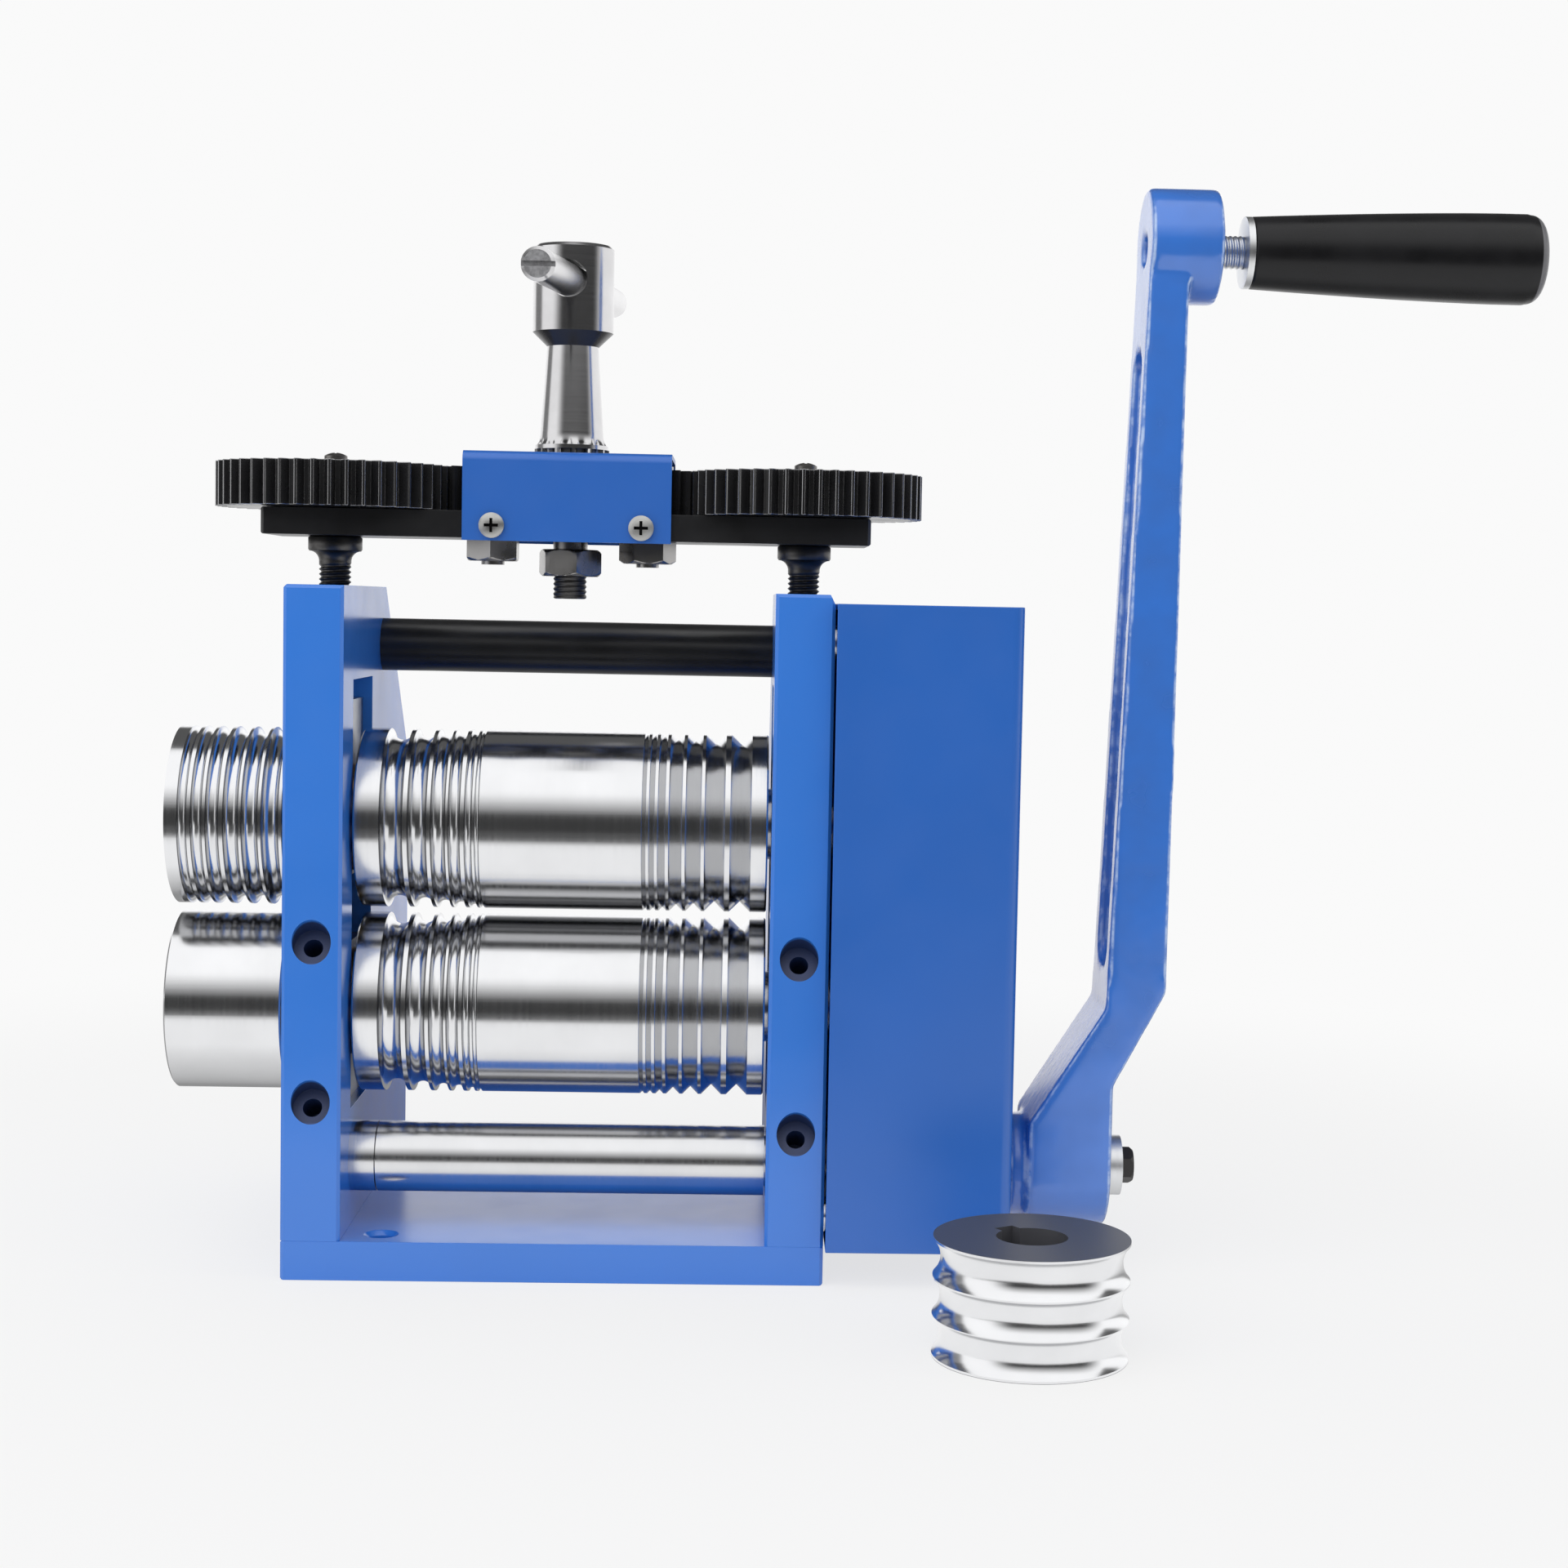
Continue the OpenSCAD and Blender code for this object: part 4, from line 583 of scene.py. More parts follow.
def shaded_below(finish, colour):
    """Painted shade: darkens the faces that look down and makes them less metallic."""
    shader, place = shader_of(finish)
    under = spread(part_of(place.outputs["Normal"], "Z"), -0.5, -0.3, 1, 0)
    # Painted shade on the faces that look down
    shade(shader, under, None, colour)
    wear(shader, under, metallic=0.3)


def sawn_ends(finish, axis, turn, colour):
    """Turns the two flat ends of a bar dull and pale: where the surface faces along the bar's axis."""
    shader, place = shader_of(finish)
    along = vector_value("DOT_PRODUCT", place.outputs["Normal"], axis)
    end = spread(sum_up("ABSOLUTE", along, 0), 0.9, 0.96, 0, 1)
    wear(shader, end, 0.5, 0.35)
    brushed = spread(grain(place, 900, turn, detail=3), 0.35, 0.65, 0, 1)
    shade(shader, end, None, blended(brushed, times(colour, 0.75), times(colour, 1.2)))


def paler_rim(finish, start, colour):
    """Turns a finish to another colour beyond a place along the frame."""
    shader, place = shader_of(finish)
    x = part_of(place.outputs["Object"], "X")
    shade(shader, spread(x, start - 0.1 * MM, start + 0.1 * MM, 0, 1), None, colour)


FINISHES = {}


def give(nodes, finish):
    """Puts a finish on nodes of the frame."""
    for node in nodes:
        slots = node_object(node).data.materials
        slots.clear()
        slots.append(finish)


class MILL_OT_enamel(bpy.types.Operator):
    """Paint the base, the side plates, the covers and the casting"""

    bl_idname = "mill.enamel"
    bl_label = "Enamel"

    def execute(self, context):
        paint = settings("mill_paint")
        plates = ["left_side_plate", "right_side_plate"]
        FINISHES["plate enamel"] = enamel("plate enamel", paint.plate_blue, paint.orange_peel)
        # Painted shade in the screw bores of the side plates' front edges
        shaded_bores(plates, FINISHES["plate enamel"], BORE_SHADE_BLUE)
        FINISHES["sheet enamel"] = enamel("sheet enamel", paint.sheet_blue, paint.orange_peel * 0.7, 0.3)
        FINISHES["cast enamel"] = casting("cast enamel", paint.cast_blue, paint.sand_grain)
        give(["base_plate", *plates], FINISHES["plate enamel"])
        give(["gear_cover", "bridge_cover"], FINISHES["sheet enamel"])
        give(["crank_arm"], FINISHES["cast enamel"])
        return {"FINISHED"}


class MILL_OT_metal(bpy.types.Operator):
    """Give the rolls, shafts, bearings, gears and screws their bare or blackened metal"""

    bl_idname = "mill.metal"
    bl_label = "Metal"

    def execute(self, context):
        steel = settings("mill_steel")
        line, grey, turned_grey = steel.line_depth, steel.roll_grey, steel.handle_grey
        # Values: colour, roughness, the axis of the lathe if there is one, and the depth of the lines first
        for name, maker, values, nodes in (
            ("polished roll steel", lathe_steel, (grey, 0.17, "x", line, 2200, 0.05, 0.011 * MM),
                ("lower_roll", "upper_roll", "lower_side_roll", "upper_side_roll")),
            ("polished spare roll", lathe_steel, (grey, 0.17, "z", line, 2200), ("spare_roll",)),
            ("bright shaft", lathe_steel, (times(grey, 0.93), 0.2, "x", line * 1.5, 2800, 0.05, 0.008 * MM),
                ("drive_shaft", "drive_bushes", "cover_pillars")),
            ("zinc spindle", lathe_steel, ((0.86, 0.87, 0.88), 0.36, "x", line * 2, 2000),
                ("grip_spindle", "crank_washer", "grip_ferrule")),
            ("zinc screws", milled_steel, ((0.62, 0.62, 0.60), 0.42, line * 4), ("bridge_cover_screws",)),
            ("flush screws", milled_steel, ((0.5, 0.5, 0.49), 0.38, line * 4), ("cover_screws",)),
            ("dark small screws", milled_steel, ((0.26, 0.25, 0.24), 0.35, line * 3),
                ("left_gear_screw", "right_gear_screw")),
            ("machined block steel", milled_steel, ((0.5, 0.51, 0.53), 0.34, line * 6),
                ("lower_left_block", "lower_right_block", "upper_left_block", "upper_right_block")),
            ("turned handle steel", lathe_steel, (turned_grey, 0.17, "z", line, 1900, 0.12),
                ("adjusting_handle",)),
            ("turned bar steel", lathe_steel, (times(turned_grey, 1.05), 0.2, "y", line, 1900),
                ("cross_bar",)),
            ("cut gear steel", milled_steel, ((0.42, 0.42, 0.43), 0.32, line * 5),
                ("lower_roll_gear", "large_drive_gear", "upper_roll_gear", "drive_pinion")),
            ("dark screw steel", lathe_steel, ((0.13, 0.127, 0.125), 0.4, "z", line * 2, 1900),
                ("left_pressure_screw", "right_pressure_screw")),
            ("spring wire", milled_steel, ((0.4, 0.4, 0.41), 0.3, line), SPRINGS),
            ("bearing bronze", lathe_steel, ((0.66, 0.43, 0.2), 0.28, "x", line * 2, 2400, 0.15),
                ("lower_left_bush", "lower_right_bush", "upper_left_bush", "upper_right_bush")),
            ("black oxide", black_finish, ((0.009, 0.0092, 0.0105), 0.33, line * 4, 900, 0.85),
                ("frame_screws", "upper_tie_bar", "bridge_bar", "lower_side_screw", "upper_side_screw",
                 "lower_roll_keys", "upper_roll_keys", "lower_gear_nut", "upper_gear_nut")),
            ("black gears", black_finish, ((0.0125, 0.0125, 0.0135), 0.24, line * 4),
                ("left_adjusting_gear", "right_adjusting_gear", "left_idler_gear", "right_idler_gear")),
            # Paler metal for the gears' rounded tooth edges: partly rubbed wear, partly painted highlights
            # along the teeth
            ("rubbed tooth edges", milled_steel, ((0.5, 0.5, 0.51), 0.25, line * 3), ()),
            ("grey bolts", milled_steel, ((0.44, 0.43, 0.42), 0.28, line * 5),
                ("idler_bolts", "handle_nut")),
            ("dark crank bolt", black_finish, ((0.02, 0.018, 0.018), 0.32, line * 4), ("crank_bolt",)),
            ("moulded grip", black_finish, ((0.008, 0.008, 0.009), 0.3, line * 3, 700, 0.34),
                ("grip_handle",)),
            ("grey cap", black_finish, ((0.09, 0.09, 0.095), 0.38, line * 4, 1200), ("grip_end_cap",)),
        ):
            FINISHES[name] = maker(name, *values)
            give(nodes, FINISHES[name])
        # Painted shade in the cross recesses of the bridge cover's screws
        shaded_recess("bridge_cover_screws", FINISHES["zinc screws"], 6.2 * MM)
        # Painted shade on the handle's faces that look down, such as under its head
        shaded_below(FINISHES["turned handle steel"], UNDERSIDE_SHADE)
        bar = next(j for j in frame["record"]["behaviour"]["joints"] if j["name"] == "cross_bar_slide")
        sawn_ends(FINISHES["turned bar steel"], bar["axis"], (1, 0.06, 1), SAWN_GREY)
        # The spare roll's flat ends and bore: darker, duller and less metallic than its polished side
        darker_ends_and_bore("spare_roll", FINISHES["polished spare roll"], END_AND_BORE_GREY)
        return {"FINISHED"}


class MILL_OT_eased_frame(bpy.types.Operator):
    """Round the sharp edges of the plates, covers, bridge bar and large gears, as paint and tumbling do"""

    bl_idname = "mill.eased_frame"
    bl_label = "Eased edges"

    def execute(self, context):
        for node, width, finish in (
            ("left_side_plate", 0.35 * MM, "plate enamel"),
            ("right_side_plate", 0.35 * MM, "plate enamel"),
            ("base_plate", 0.35 * MM, "plate enamel"),
            ("gear_cover", 0.45 * MM, "sheet enamel"),
            ("bridge_cover", 0.35 * MM, "sheet enamel"),
            ("bridge_bar", 0.25 * MM, "black oxide"),
            ("left_adjusting_gear", 0.16 * MM, "black gears"),
            ("right_adjusting_gear", 0.16 * MM, "black gears"),
        ):
            # The gears' tooth edges get the paler metal: partly wear, partly painted highlights
            rubbed = FINISHES["rubbed tooth edges"] if finish == "black gears" else None
            piece = eased_copy(node, "eased_" + node, width, FINISHES[finish], rubbed)
        return {"FINISHED"}


class MILL_OT_crank(bpy.types.Operator):
    """Model the cast crank with soft edges and filleted corners"""

    bl_idname = "mill.crank"
    bl_label = "Cast crank"

    def execute(self, context):
        piece = merged_copy("crank_arm", "cast_crank", FINISHES["cast enamel"])
        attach(piece, BODY_OF["crank_arm"])
        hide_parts("crank_arm")
        skin = piece.modifiers.new("even skin", "REMESH")
        skin.mode, skin.voxel_size, skin.use_smooth_shade = "VOXEL", 0.75 * MM, True
        melt = piece.modifiers.new("soft edges", "SMOOTH")
        melt.factor, melt.iterations = 0.5, 11
        return {"FINISHED"}


class MILL_OT_pressure_screws(bpy.types.Operator):
    """Model the two pressure screws with their cut threads, collars and fillets"""

    bl_idname = "mill.pressure_screws"
    bl_label = "Pressure screws"

    def execute(self, context):
        thread = settings("mill_thread")
        shank, fillet = 4.0 * MM, 2.5 * MM
        q = np.linspace(0, np.pi / 2, 12)
        for side in ("left", "right"):
            node = side + "_pressure_screw"
            low, high = (c.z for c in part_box(node))
            under = JOINT_AT[side + "_screw_turn"].z
            gear_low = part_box(side + "_adjusting_gear")[0].z
            collar = under - 3.7 * MM
            # Fillet: a quarter of a circle from the shank out to the collar
            fillet_r, fillet_z = shank + fillet * (1 - np.cos(q)), collar - fillet * (1 - np.sin(q))
            plain = np.arange(low + 0.6 * MM, under - 6.4 * MM, thread.pitch / 10)
            z = np.concatenate([[low], plain, fillet_z, [
                collar, under - 3.3 * MM, under - 0.45 * MM, under - 0.06 * MM, under - 0.06 * MM,
                gear_low, gear_low, high]])
            r = np.concatenate([[shank - 0.6 * MM], np.full(len(plain), shank), fillet_r, [
                6.4 * MM, 6.7 * MM, 6.7 * MM, 6.3 * MM, 5.0 * MM, 5.0 * MM, shank, shank]])
            radii = thread_radii(z, r, shank, thread.steps, low, under - 6.6 * MM, thread.pitch,
                                 thread.depth)
            piece = turned("threaded_" + side + "_screw", radii, z, below(node), UP, side + "_screw",
                           FINISHES["dark screw steel"], thread.steps, smooth_angle=50)
            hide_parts(node)
        return {"FINISHED"}


class MILL_OT_handle_thread(bpy.types.Operator):
    """Cut the thread on the lower end of the adjusting handle, below its nut"""

    bl_idname = "mill.handle_thread"
    bl_label = "Handle thread"

    def execute(self, context):
        thread = settings("mill_thread")
        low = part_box("adjusting_handle")[0].z
        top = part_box("handle_nut")[0].z + 0.4 * MM
        crest, tip = 4.18 * MM, 3.7 * MM
        z = np.arange(low + 0.25 * MM, top, thread.pitch / 12)
        z = np.concatenate([[low - 0.02 * MM], z, [top]])
        r = np.full(len(z), crest)
        r[0] = tip
        radii = thread_radii(z, r, crest, thread.steps, low, top + thread.pitch, thread.pitch, 0.34 * MM)
        piece = turned("handle_thread_end", np.maximum(radii, tip), z, below("handle_nut"), UP, "handle",
                       FINISHES["dark screw steel"], thread.steps, smooth_angle=50)
        return {"FINISHED"}


class MILL_OT_springs(bpy.types.Operator):
    """Wind the four lift springs between the bearing blocks"""

    bl_idname = "mill.springs"
    bl_label = "Lift springs"

    def execute(self, context):
        spring = settings("mill_spring")
        wire, coil = spring.wire_d / 2, (spring.coil_d - spring.wire_d) / 2
        for node in SPRINGS:
            low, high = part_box(node)
            x, y = (low.x + high.x) / 2, (low.y + high.y) / 2
            # Helix whose first and last half turns lie flat, with a round wire swept along it
            t = np.linspace(0, spring.turns, spring.turns * TURN_STEPS + 1)
            rise = np.clip((t - 0.5) / (spring.turns - 1), 0, 1) * (high.z - low.z - spring.wire_d)
            a, b = 2 * np.pi * t, np.linspace(0, 2 * np.pi, WIRE_STEPS, endpoint=False)
            reach = coil + wire * np.cos(b)[None, :]
            points = np.stack([x + reach * np.cos(a)[:, None], y + reach * np.sin(a)[:, None],
                               low.z + wire + rise[:, None] + wire * np.sin(b)[None, :]], axis=-1)
            faces = [f[::-1] for f in grid_faces(len(t), WIRE_STEPS)]
            last = (len(t) - 1) * WIRE_STEPS
            faces += [list(range(WIRE_STEPS)), [last + k for k in range(WIRE_STEPS)][::-1]]
            piece = mesh_piece("wound_" + node, points, faces, None, FINISHES["spring wire"], 60)
            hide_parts(node)
            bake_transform(piece)
        return {"FINISHED"}


def hexagon_rows(low, high, flats, corner, chamfer, both_ends):
    """Rows of a hexagon head: half the flats over the cosine of the turn to the nearest flat, cut by a cone
    at the ends."""
    t = np.linspace(0, 2 * np.pi, ROUND_STEPS, endpoint=False)
    side = flats / 2 / np.cos((t - math.radians(corner)) % (np.pi / 3) - np.pi / 6)
    h = np.concatenate([np.linspace(0, chamfer, 7), (high - low) - np.linspace(chamfer, 0, 7)])
    above = high - low - h if both_ends else np.full(len(h), chamfer)
    cone = flats / 2 * 0.97 + 1.5 * np.minimum(h, above)
    return low + h, np.minimum(side[None, :], cone[:, None])


def round_rows(heights, radii):
    """Rows of a round part of a fastener."""
    radii = np.array(radii, dtype=float)
    return np.array(heights, dtype=float), np.repeat(radii[:, None], ROUND_STEPS, axis=1)


class MILL_OT_fasteners(bpy.types.Operator):
    """Shape the hexagon bolts and the nut below the bridge, with their corners cut by a cone"""

    bl_idname = "mill.fasteners"
    bl_label = "Bolts and nut"

    def execute(self, context):
        part = settings("mill_fasteners")
        low, high = (c.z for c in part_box("idler_bolts"))
        head = low + part.bolt_step
        top = head + part.bolt_head
        neck, shank, disc, stud = 2.9 * MM, 4 * MM, 6.2 * MM, 4.3 * MM
        bolts = []
        for side, corner in (("left", -90), ("right", -55)):
            gear = side + "_idler_gear"
            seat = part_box(gear)[1].z + 0.2 * MM
            bolts.append(self.shape("bolt_" + side, gear, None, [
                round_rows([low, head], [neck, neck]),
                hexagon_rows(head, top, part.bolt_flats, corner, part.chamfer, False),
                round_rows([top, seat, seat, high], [shank, shank, disc, disc])]))
        self.join(bolts)
        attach(bolts[0], BODY_OF["idler_bolts"])
        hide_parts("idler_bolts")
        low, high = (c.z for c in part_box("handle_nut"))
        top = low + part.nut_height
        nut = self.shape("hexagon_nut", "handle_nut", "handle", [
            hexagon_rows(low, top, part.nut_flats, -75, part.chamfer, True),
            round_rows([top, high], [stud, stud])])
        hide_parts("handle_nut")
        return {"FINISHED"}

    def shape(self, name, node, body, rows):
        """A fastener of the given rows of heights and radii, upright on the middle of a node."""
        heights, radii = (np.concatenate(column) for column in zip(*rows))
        return turned(name, radii, heights, below(node), UP, body, FINISHES["grey bolts"])

    def join(self, pieces):
        """Puts the meshes of both pieces into the first and removes the second."""
        form = bmesh.new()
        for piece in pieces:
            form.from_mesh(piece.data)
        form.to_mesh(pieces[0].data)
        form.free()
        pieces[0].data.update()
        pieces[0].name = "hexagon_bolts"
        bpy.data.objects.remove(pieces[1])


class MILL_OT_grip(bpy.types.Operator):
    """Mould the tapered grip with its rounded end and the seat of its cap"""

    bl_idname = "mill.grip"
    bl_label = "Grip"

    def execute(self, context):
        grip = settings("mill_grip")
        low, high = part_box("grip_handle")
        ferrule_low, ferrule_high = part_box("grip_ferrule")
        cap_low, cap_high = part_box("grip_end_cap")
        start, end = low.x, high.x
        small, big = (ferrule_high.z - ferrule_low.z) / 2, (high.z - low.z) / 2
        cap, cap_x, bore = (cap_high.z - cap_low.z) / 2 + 0.03 * MM, cap_low.x, 3.9 * MM
        # Swell: from the small to the large radius by one less the 1.5th power of the way left, a shallow
        # groove before the rim, then a quarter circle and the seat of the cap
        way = np.linspace(0, 1, 90)
        x = start + (end - grip.end_round - start) * way
        r = small + (big - small) * (1 - np.clip(1 - way / grip.swell, 0, 1) ** 1.5)
        groove = (end - grip.rim - 0.9 * MM - x) / (0.45 * MM)
        r = r - 0.22 * MM * np.exp(-groove ** 2)
        q = np.linspace(0, np.pi / 2, 10)[1:]
        x = np.concatenate([[start], x, end - grip.end_round + grip.end_round * np.sin(q),
                            [end, cap_x, cap_x, start]])
        r = np.concatenate([[small - 0.5 * MM], r, r[-1] - grip.end_round * (1 - np.cos(q)),
                            [cap, cap, bore, bore]])
        x[1] = start + 0.4 * MM
        axis_at = (0, middle_of("grip_handle").y, JOINT_AT["grip_spin"].z)
        piece = turned("moulded_grip", r, x, axis_at, ALONG, "grip", FINISHES["moulded grip"], GRIP_STEPS,
                       closed=True, smooth_angle=50)
        # The grip's paler rim: partly the rim's own lighter grey, partly a painted sheen of its polished
        # rounding
        paler_rim(FINISHES["moulded grip"], end - grip.rim, RIM_GREY)
        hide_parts("grip_handle")
        return {"FINISHED"}


class MILL_OT_spindle(bpy.types.Operator):
    """Cut the thread on the grip's spindle where it shows between the crank and the grip"""

    bl_idname = "mill.spindle"
    bl_label = "Spindle thread"

    def execute(self, context):
        thread = settings("mill_thread")
        low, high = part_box("grip_spindle")
        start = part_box("crank_arm")[1].x + 0.05 * MM
        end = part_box("grip_ferrule")[0].x - 0.1 * MM
        crest = (high.z - low.z) / 2 + 0.26 * MM
        x = np.linspace(start, end, int((end - start) / thread.pitch * 12))
        r = thread_radii(x, np.full(len(x), crest), crest, thread.steps, start - thread.pitch,
                         end + thread.pitch, thread.pitch, 0.24 * MM)
        axis_at = (0, middle_of("grip_spindle").y, JOINT_AT["grip_spin"].z)
        piece = turned("threaded_spindle", r, x, axis_at, ALONG, BODY_OF["grip_spindle"],
                       FINISHES["zinc spindle"], thread.steps, smooth_angle=50)
        return {"FINISHED"}


class MILL_OT_stem_foot(bpy.types.Operator):
    """Flare the foot of the handle's stem, with the run-outs of its teeth"""

    bl_idname = "mill.stem_foot"
    bl_label = "Stem foot"

    def execute(self, context):
        handle = settings("mill_handle")
        foot = JOINT_AT["handle_turn"].z + handle.stem_low + 0.02 * MM
        # Flare: the cube of the height left, less the gap between two teeth, which fades out upwards
        h = np.linspace(0, 1, 14)[:, None]
        t = np.linspace(0, 2 * np.pi, FOOT_STEPS, endpoint=False)[None, :]
        gap = np.clip(1.6 * (-np.cos(handle.teeth * t)) + 0.1, 0, 1)
        out = handle.flare * (1 - h) ** 3 * (1 - 0.95 * gap * np.clip(1.2 - 1.6 * h, 0, 1))
        radii = handle.stem_d / 2 - 0.015 * MM + out - 0.056 * handle.flare_h * h
        piece = turned("stem_foot", radii, foot + h[:, 0] * handle.flare_h, below("handle_nut"), UP,
                       "handle", FINISHES["turned handle steel"], FOOT_STEPS, smooth_angle=50)
        return {"FINISHED"}


class MILL_OT_stage(bpy.types.Operator):
    """Set the camera at the viewing angle, with a white table and soft studio light"""

    bl_idname = "mill.stage"
    bl_label = "Stage"

    def execute(self, context):
        stage = settings("mill_stage")
        scene = context.scene
        scene.view_settings.view_transform = "Standard"
        scene.view_settings.look = "None"
        yaw, pitch, roll = CAMERA_TURNS
        ahead = Vector((math.sin(yaw) * math.cos(pitch), math.cos(yaw) * math.cos(pitch), math.sin(pitch)))
        right = Vector((math.cos(yaw), -math.sin(yaw), 0))
        up = right.cross(ahead)
        across = math.cos(roll) * right + math.sin(roll) * up
        above = -math.sin(roll) * right + math.cos(roll) * up
        data = bpy.data.cameras.new("camera")
        data.lens, data.sensor_width = stage.lens, 36
        data.shift_x, data.shift_y = CAMERA_SHIFT
        data.clip_start, data.clip_end = 0.01, 50
        camera = bpy.data.objects.new("camera", data)
        turn = Matrix((across, above, -ahead)).transposed().to_4x4()
        camera.matrix_world = Matrix.Translation(CAMERA_AT) @ turn
        scene.collection.objects.link(camera)
        scene.camera = camera
        self.table(scene, stage)
        for name, place, aim, size, power in (
            ("key light", (-0.4, -0.68, 0.88), (-0.05, 0, 0.12), (1.3, 1.3), stage.light),
            ("side light", (1.3, -0.5, 0.7), (0.05, 0, 0.12), (0.5, 1.0), stage.light * 0.2),
            ("top light", (-0.1, 0.5, 1.3), (0.0, 0, 0.1), (1.0, 0.8), stage.light * 0.25),
        ):
            lamp = bpy.data.lights.new(name, "AREA")
            lamp.shape, lamp.energy, lamp.color = "RECTANGLE", power, (1, 1, 1)
            lamp.size, lamp.size_y = size
            light = bpy.data.objects.new(name, lamp)
            light.visible_camera = light.visible_glossy = False
            aimed = (Vector(aim) - Vector(place)).to_track_quat("-Z", "Y").to_matrix().to_4x4()
            light.matrix_world = Matrix.Translation(place) @ aimed
            scene.collection.objects.link(light)
        self.room(scene, stage)
        return {"FINISHED"}

    def table(self, scene, stage):
        """White floor: lit near the object, where it keeps the shadow, and an even white further off."""
        n = 5
        x, y = np.meshgrid(np.linspace(-5, 5, n), np.linspace(-0.6, 6, n))
        points = np.stack([x, y, np.full_like(x, -0.05 * MM)], axis=-1).reshape(-1, 3)
        i, j = np.arange(n - 1)[:, None], np.arange(n - 1)[None, :]
        quads = np.stack([i * n + j, i * n + j + 1, (i + 1) * n + j + 1, (i + 1) * n + j], axis=-1)
        mesh = bpy.data.meshes.new("white table")
        mesh.from_pydata(points.tolist(), [], quads.reshape(-1, 4).tolist())
        finish, shader, place = new_finish("white table", (0.85, 0.85, 0.85), 0.8, gloss=0.0)
        seen, mirrored, again = self.rays(finish.node_tree)
        far = vector_value("LENGTH", place.outputs["Object"])
        even = spread(far, 0.24, 0.5, 0, 1, soft=True)
        near_glow = between(even, stage.white - 0.23, stage.white)
        lit = between(even, 0.2, 0.0)
        across, deep = (part_of(place.outputs["Object"], axis) for axis in "XY")
        aside = sum_up("MAXIMUM", sum_up("SUBTRACT", across, 0.07), 0.0)
        slanted = sum_up("ADD", deep, sum_up("MULTIPLY", aside, stage.table_slant))
        front = spread(slanted, stage.table_edge - 0.05, stage.table_edge + 0.035, 0, 1, soft=True)
        # Painted shadow in mirrored rays: the table turns darker round and under the base, from just in
        # front of it to well behind it
        behind = sum_up("MAXIMUM", spread(deep, -0.09, 0.02, 1, 0.25), spread(deep, 0.15, 0.4, 0, 1))
        edge = spread(sum_up("MULTIPLY", front, behind), 0, 1, 0.085, stage.white)
        glow = between(mirrored, between(seen, 0.0, near_glow), sum_up("MULTIPLY", edge, again))
        base = between(mirrored, between(seen, 0.85, lit), 0.0)
        connect(base, shader, "Base Color")
        shader.inputs["Emission Color"].default_value = (1, 1, 1, 1)
        connect(glow, shader, "Emission Strength")
        mesh.materials.append(finish)
        floor = bpy.data.objects.new("white table", mesh)
        scene.collection.objects.link(floor)

    def rays(self, tree):
        """Whether a ray comes straight from the camera or through glass, whether it was mirrored, and its
        strength when it was mirrored more than once, which keeps the clefts between polished parts dark."""
        path = tree.nodes.new("ShaderNodeLightPath")
        seen = sum_up("MAXIMUM", path.outputs["Is Camera Ray"], path.outputs["Is Transmission Ray"])
        depth = path.outputs["Glossy Depth"]
        twice, often = (spread(depth, n - 1, n, 1, left) for n, left in ((2, 0.62), (3, 0.4)))
        return seen, path.outputs["Is Glossy Ray"], sum_up("MULTIPLY", twice, often)

    def room(self, scene, stage):
        """White all round, and in mirrored rays unlit low in front, high behind and at the left; an even
        light on the object."""
        world = bpy.data.worlds.new("studio")
        scene.world = world
        world.use_nodes = True
        tree = world.node_tree
        background = tree.nodes["Background"]
        ray = tree.nodes.new("ShaderNodeTexCoord").outputs["Generated"]
        side, back, rise = (part_of(ray, axis) for axis in "XYZ")
        ahead = vector_value("DOT_PRODUCT", ray, UNLIT_WAY)
        front = sum_up("MULTIPLY", spread(ahead, 0.2, 0.72, 0, 1, soft=True), spread(rise, 0.17, 0.62, 1, 0))
        over = sum_up("MULTIPLY", spread(back, 0.06, 0.16, 0, 0.95, soft=True),
                      spread(rise, 0.3, 0.44, 0, 1, soft=True))
        off = sum_up("ABSOLUTE", sum_up("SUBTRACT", back, 0.4), 0)
        left = sum_up("MULTIPLY", spread(off, 0.2, 0.34, 0.8, 0, soft=True),
                      spread(side, -0.78, -0.6, 1, 0, soft=True))
        unlit = sum_up("MAXIMUM", sum_up("MAXIMUM", front, left), over)
        mirror = between(unlit, stage.white * 1.15, stage.gloom)
        seen, mirrored, again = self.rays(tree)
        plain = between(seen, stage.room, stage.white)
        connect(between(mirrored, plain, sum_up("MULTIPLY", mirror, again)), background, "Strength")
        background.inputs["Color"].default_value = (1, 1, 1, 1)


class MILL_PT_panel(bpy.types.Panel):
    """Lists the settings and the steps of the mill's looks"""

    bl_idname = "MILL_PT_panel"
    bl_label = "Rolling Mill"
    bl_space_type = "VIEW_3D"
    bl_region_type = "UI"
    bl_category = "Rolling Mill"

    def draw(self, context):
        for group in GROUPS:
            box = self.layout.box()
            data = getattr(context.scene, group)
            for key in data.bl_rna.properties.keys():
                if key not in ("rna_type", "name"):
                    box.prop(data, key)
        for step in STEPS:
            self.layout.operator(step.bl_idname)


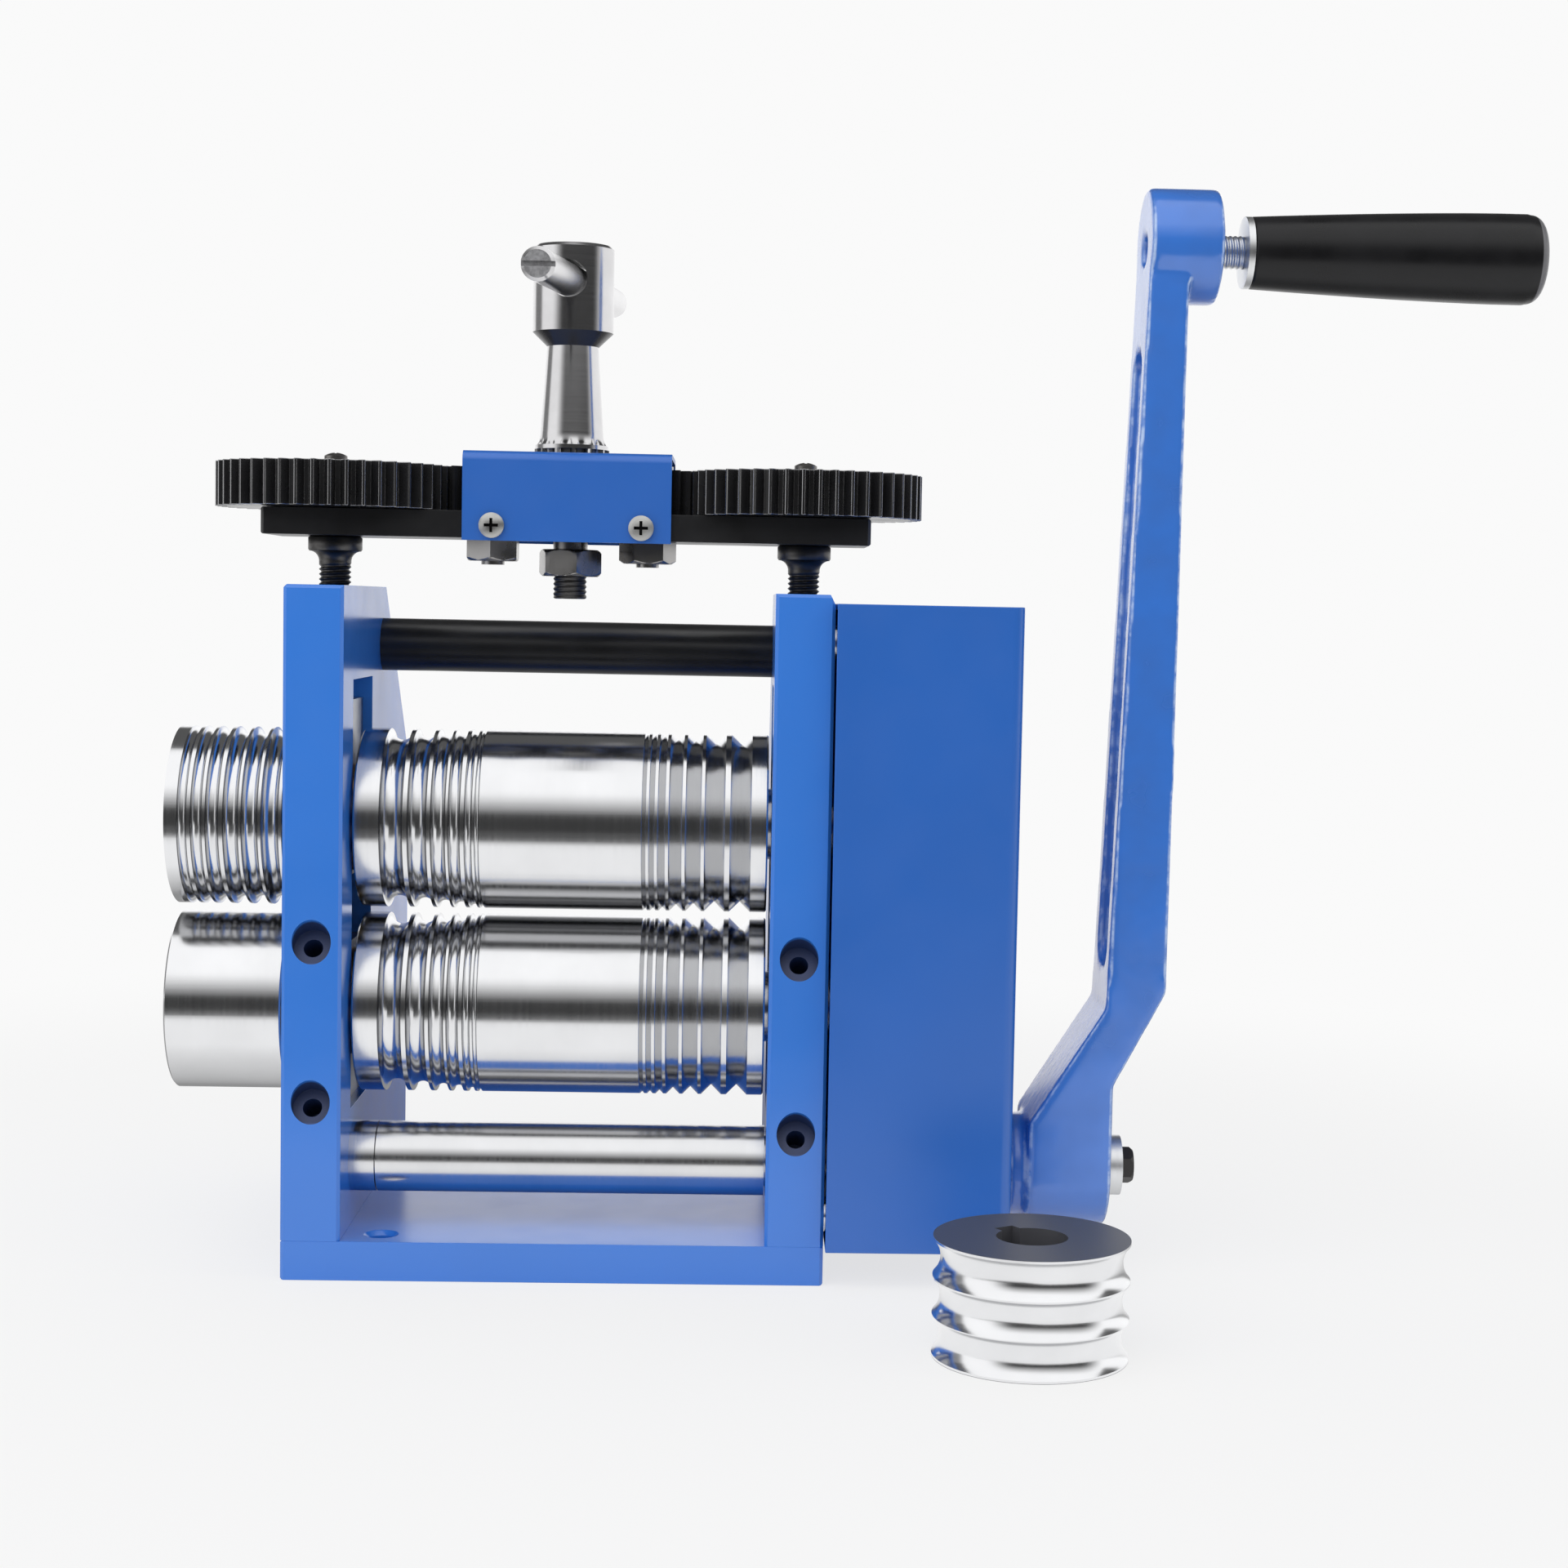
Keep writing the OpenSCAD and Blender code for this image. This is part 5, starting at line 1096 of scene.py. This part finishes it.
GROUPS = {
    "mill_paint": PaintSettings,
    "mill_steel": SteelSettings,
    "mill_thread": ThreadSettings,
    "mill_spring": SpringSettings,
    "mill_handle": HandleSettings,
    "mill_fasteners": FastenerSettings,
    "mill_grip": GripSettings,
    "mill_stage": StageSettings,
}
STEPS = (
    MILL_OT_stage,
    MILL_OT_enamel,
    MILL_OT_metal,
    MILL_OT_eased_frame,
    MILL_OT_crank,
    MILL_OT_pressure_screws,
    MILL_OT_handle_thread,
    MILL_OT_springs,
    MILL_OT_fasteners,
    MILL_OT_grip,
    MILL_OT_spindle,
    MILL_OT_stem_foot,
)
CLASSES = (*GROUPS.values(), *STEPS, MILL_PT_panel)


def register():
    for cls in CLASSES:
        bpy.utils.register_class(cls)
    for name, group in GROUPS.items():
        setattr(bpy.types.Scene, name, PointerProperty(type=group))


def unregister():
    for name in GROUPS:
        delattr(bpy.types.Scene, name)
    for cls in reversed(CLASSES):
        bpy.utils.unregister_class(cls)


def main():
    """Runs every step in order."""
    register()
    for step in STEPS:
        family, name = step.bl_idname.split(".")
        getattr(getattr(bpy.ops, family), name)()


if __name__ == "__main__":
    main()
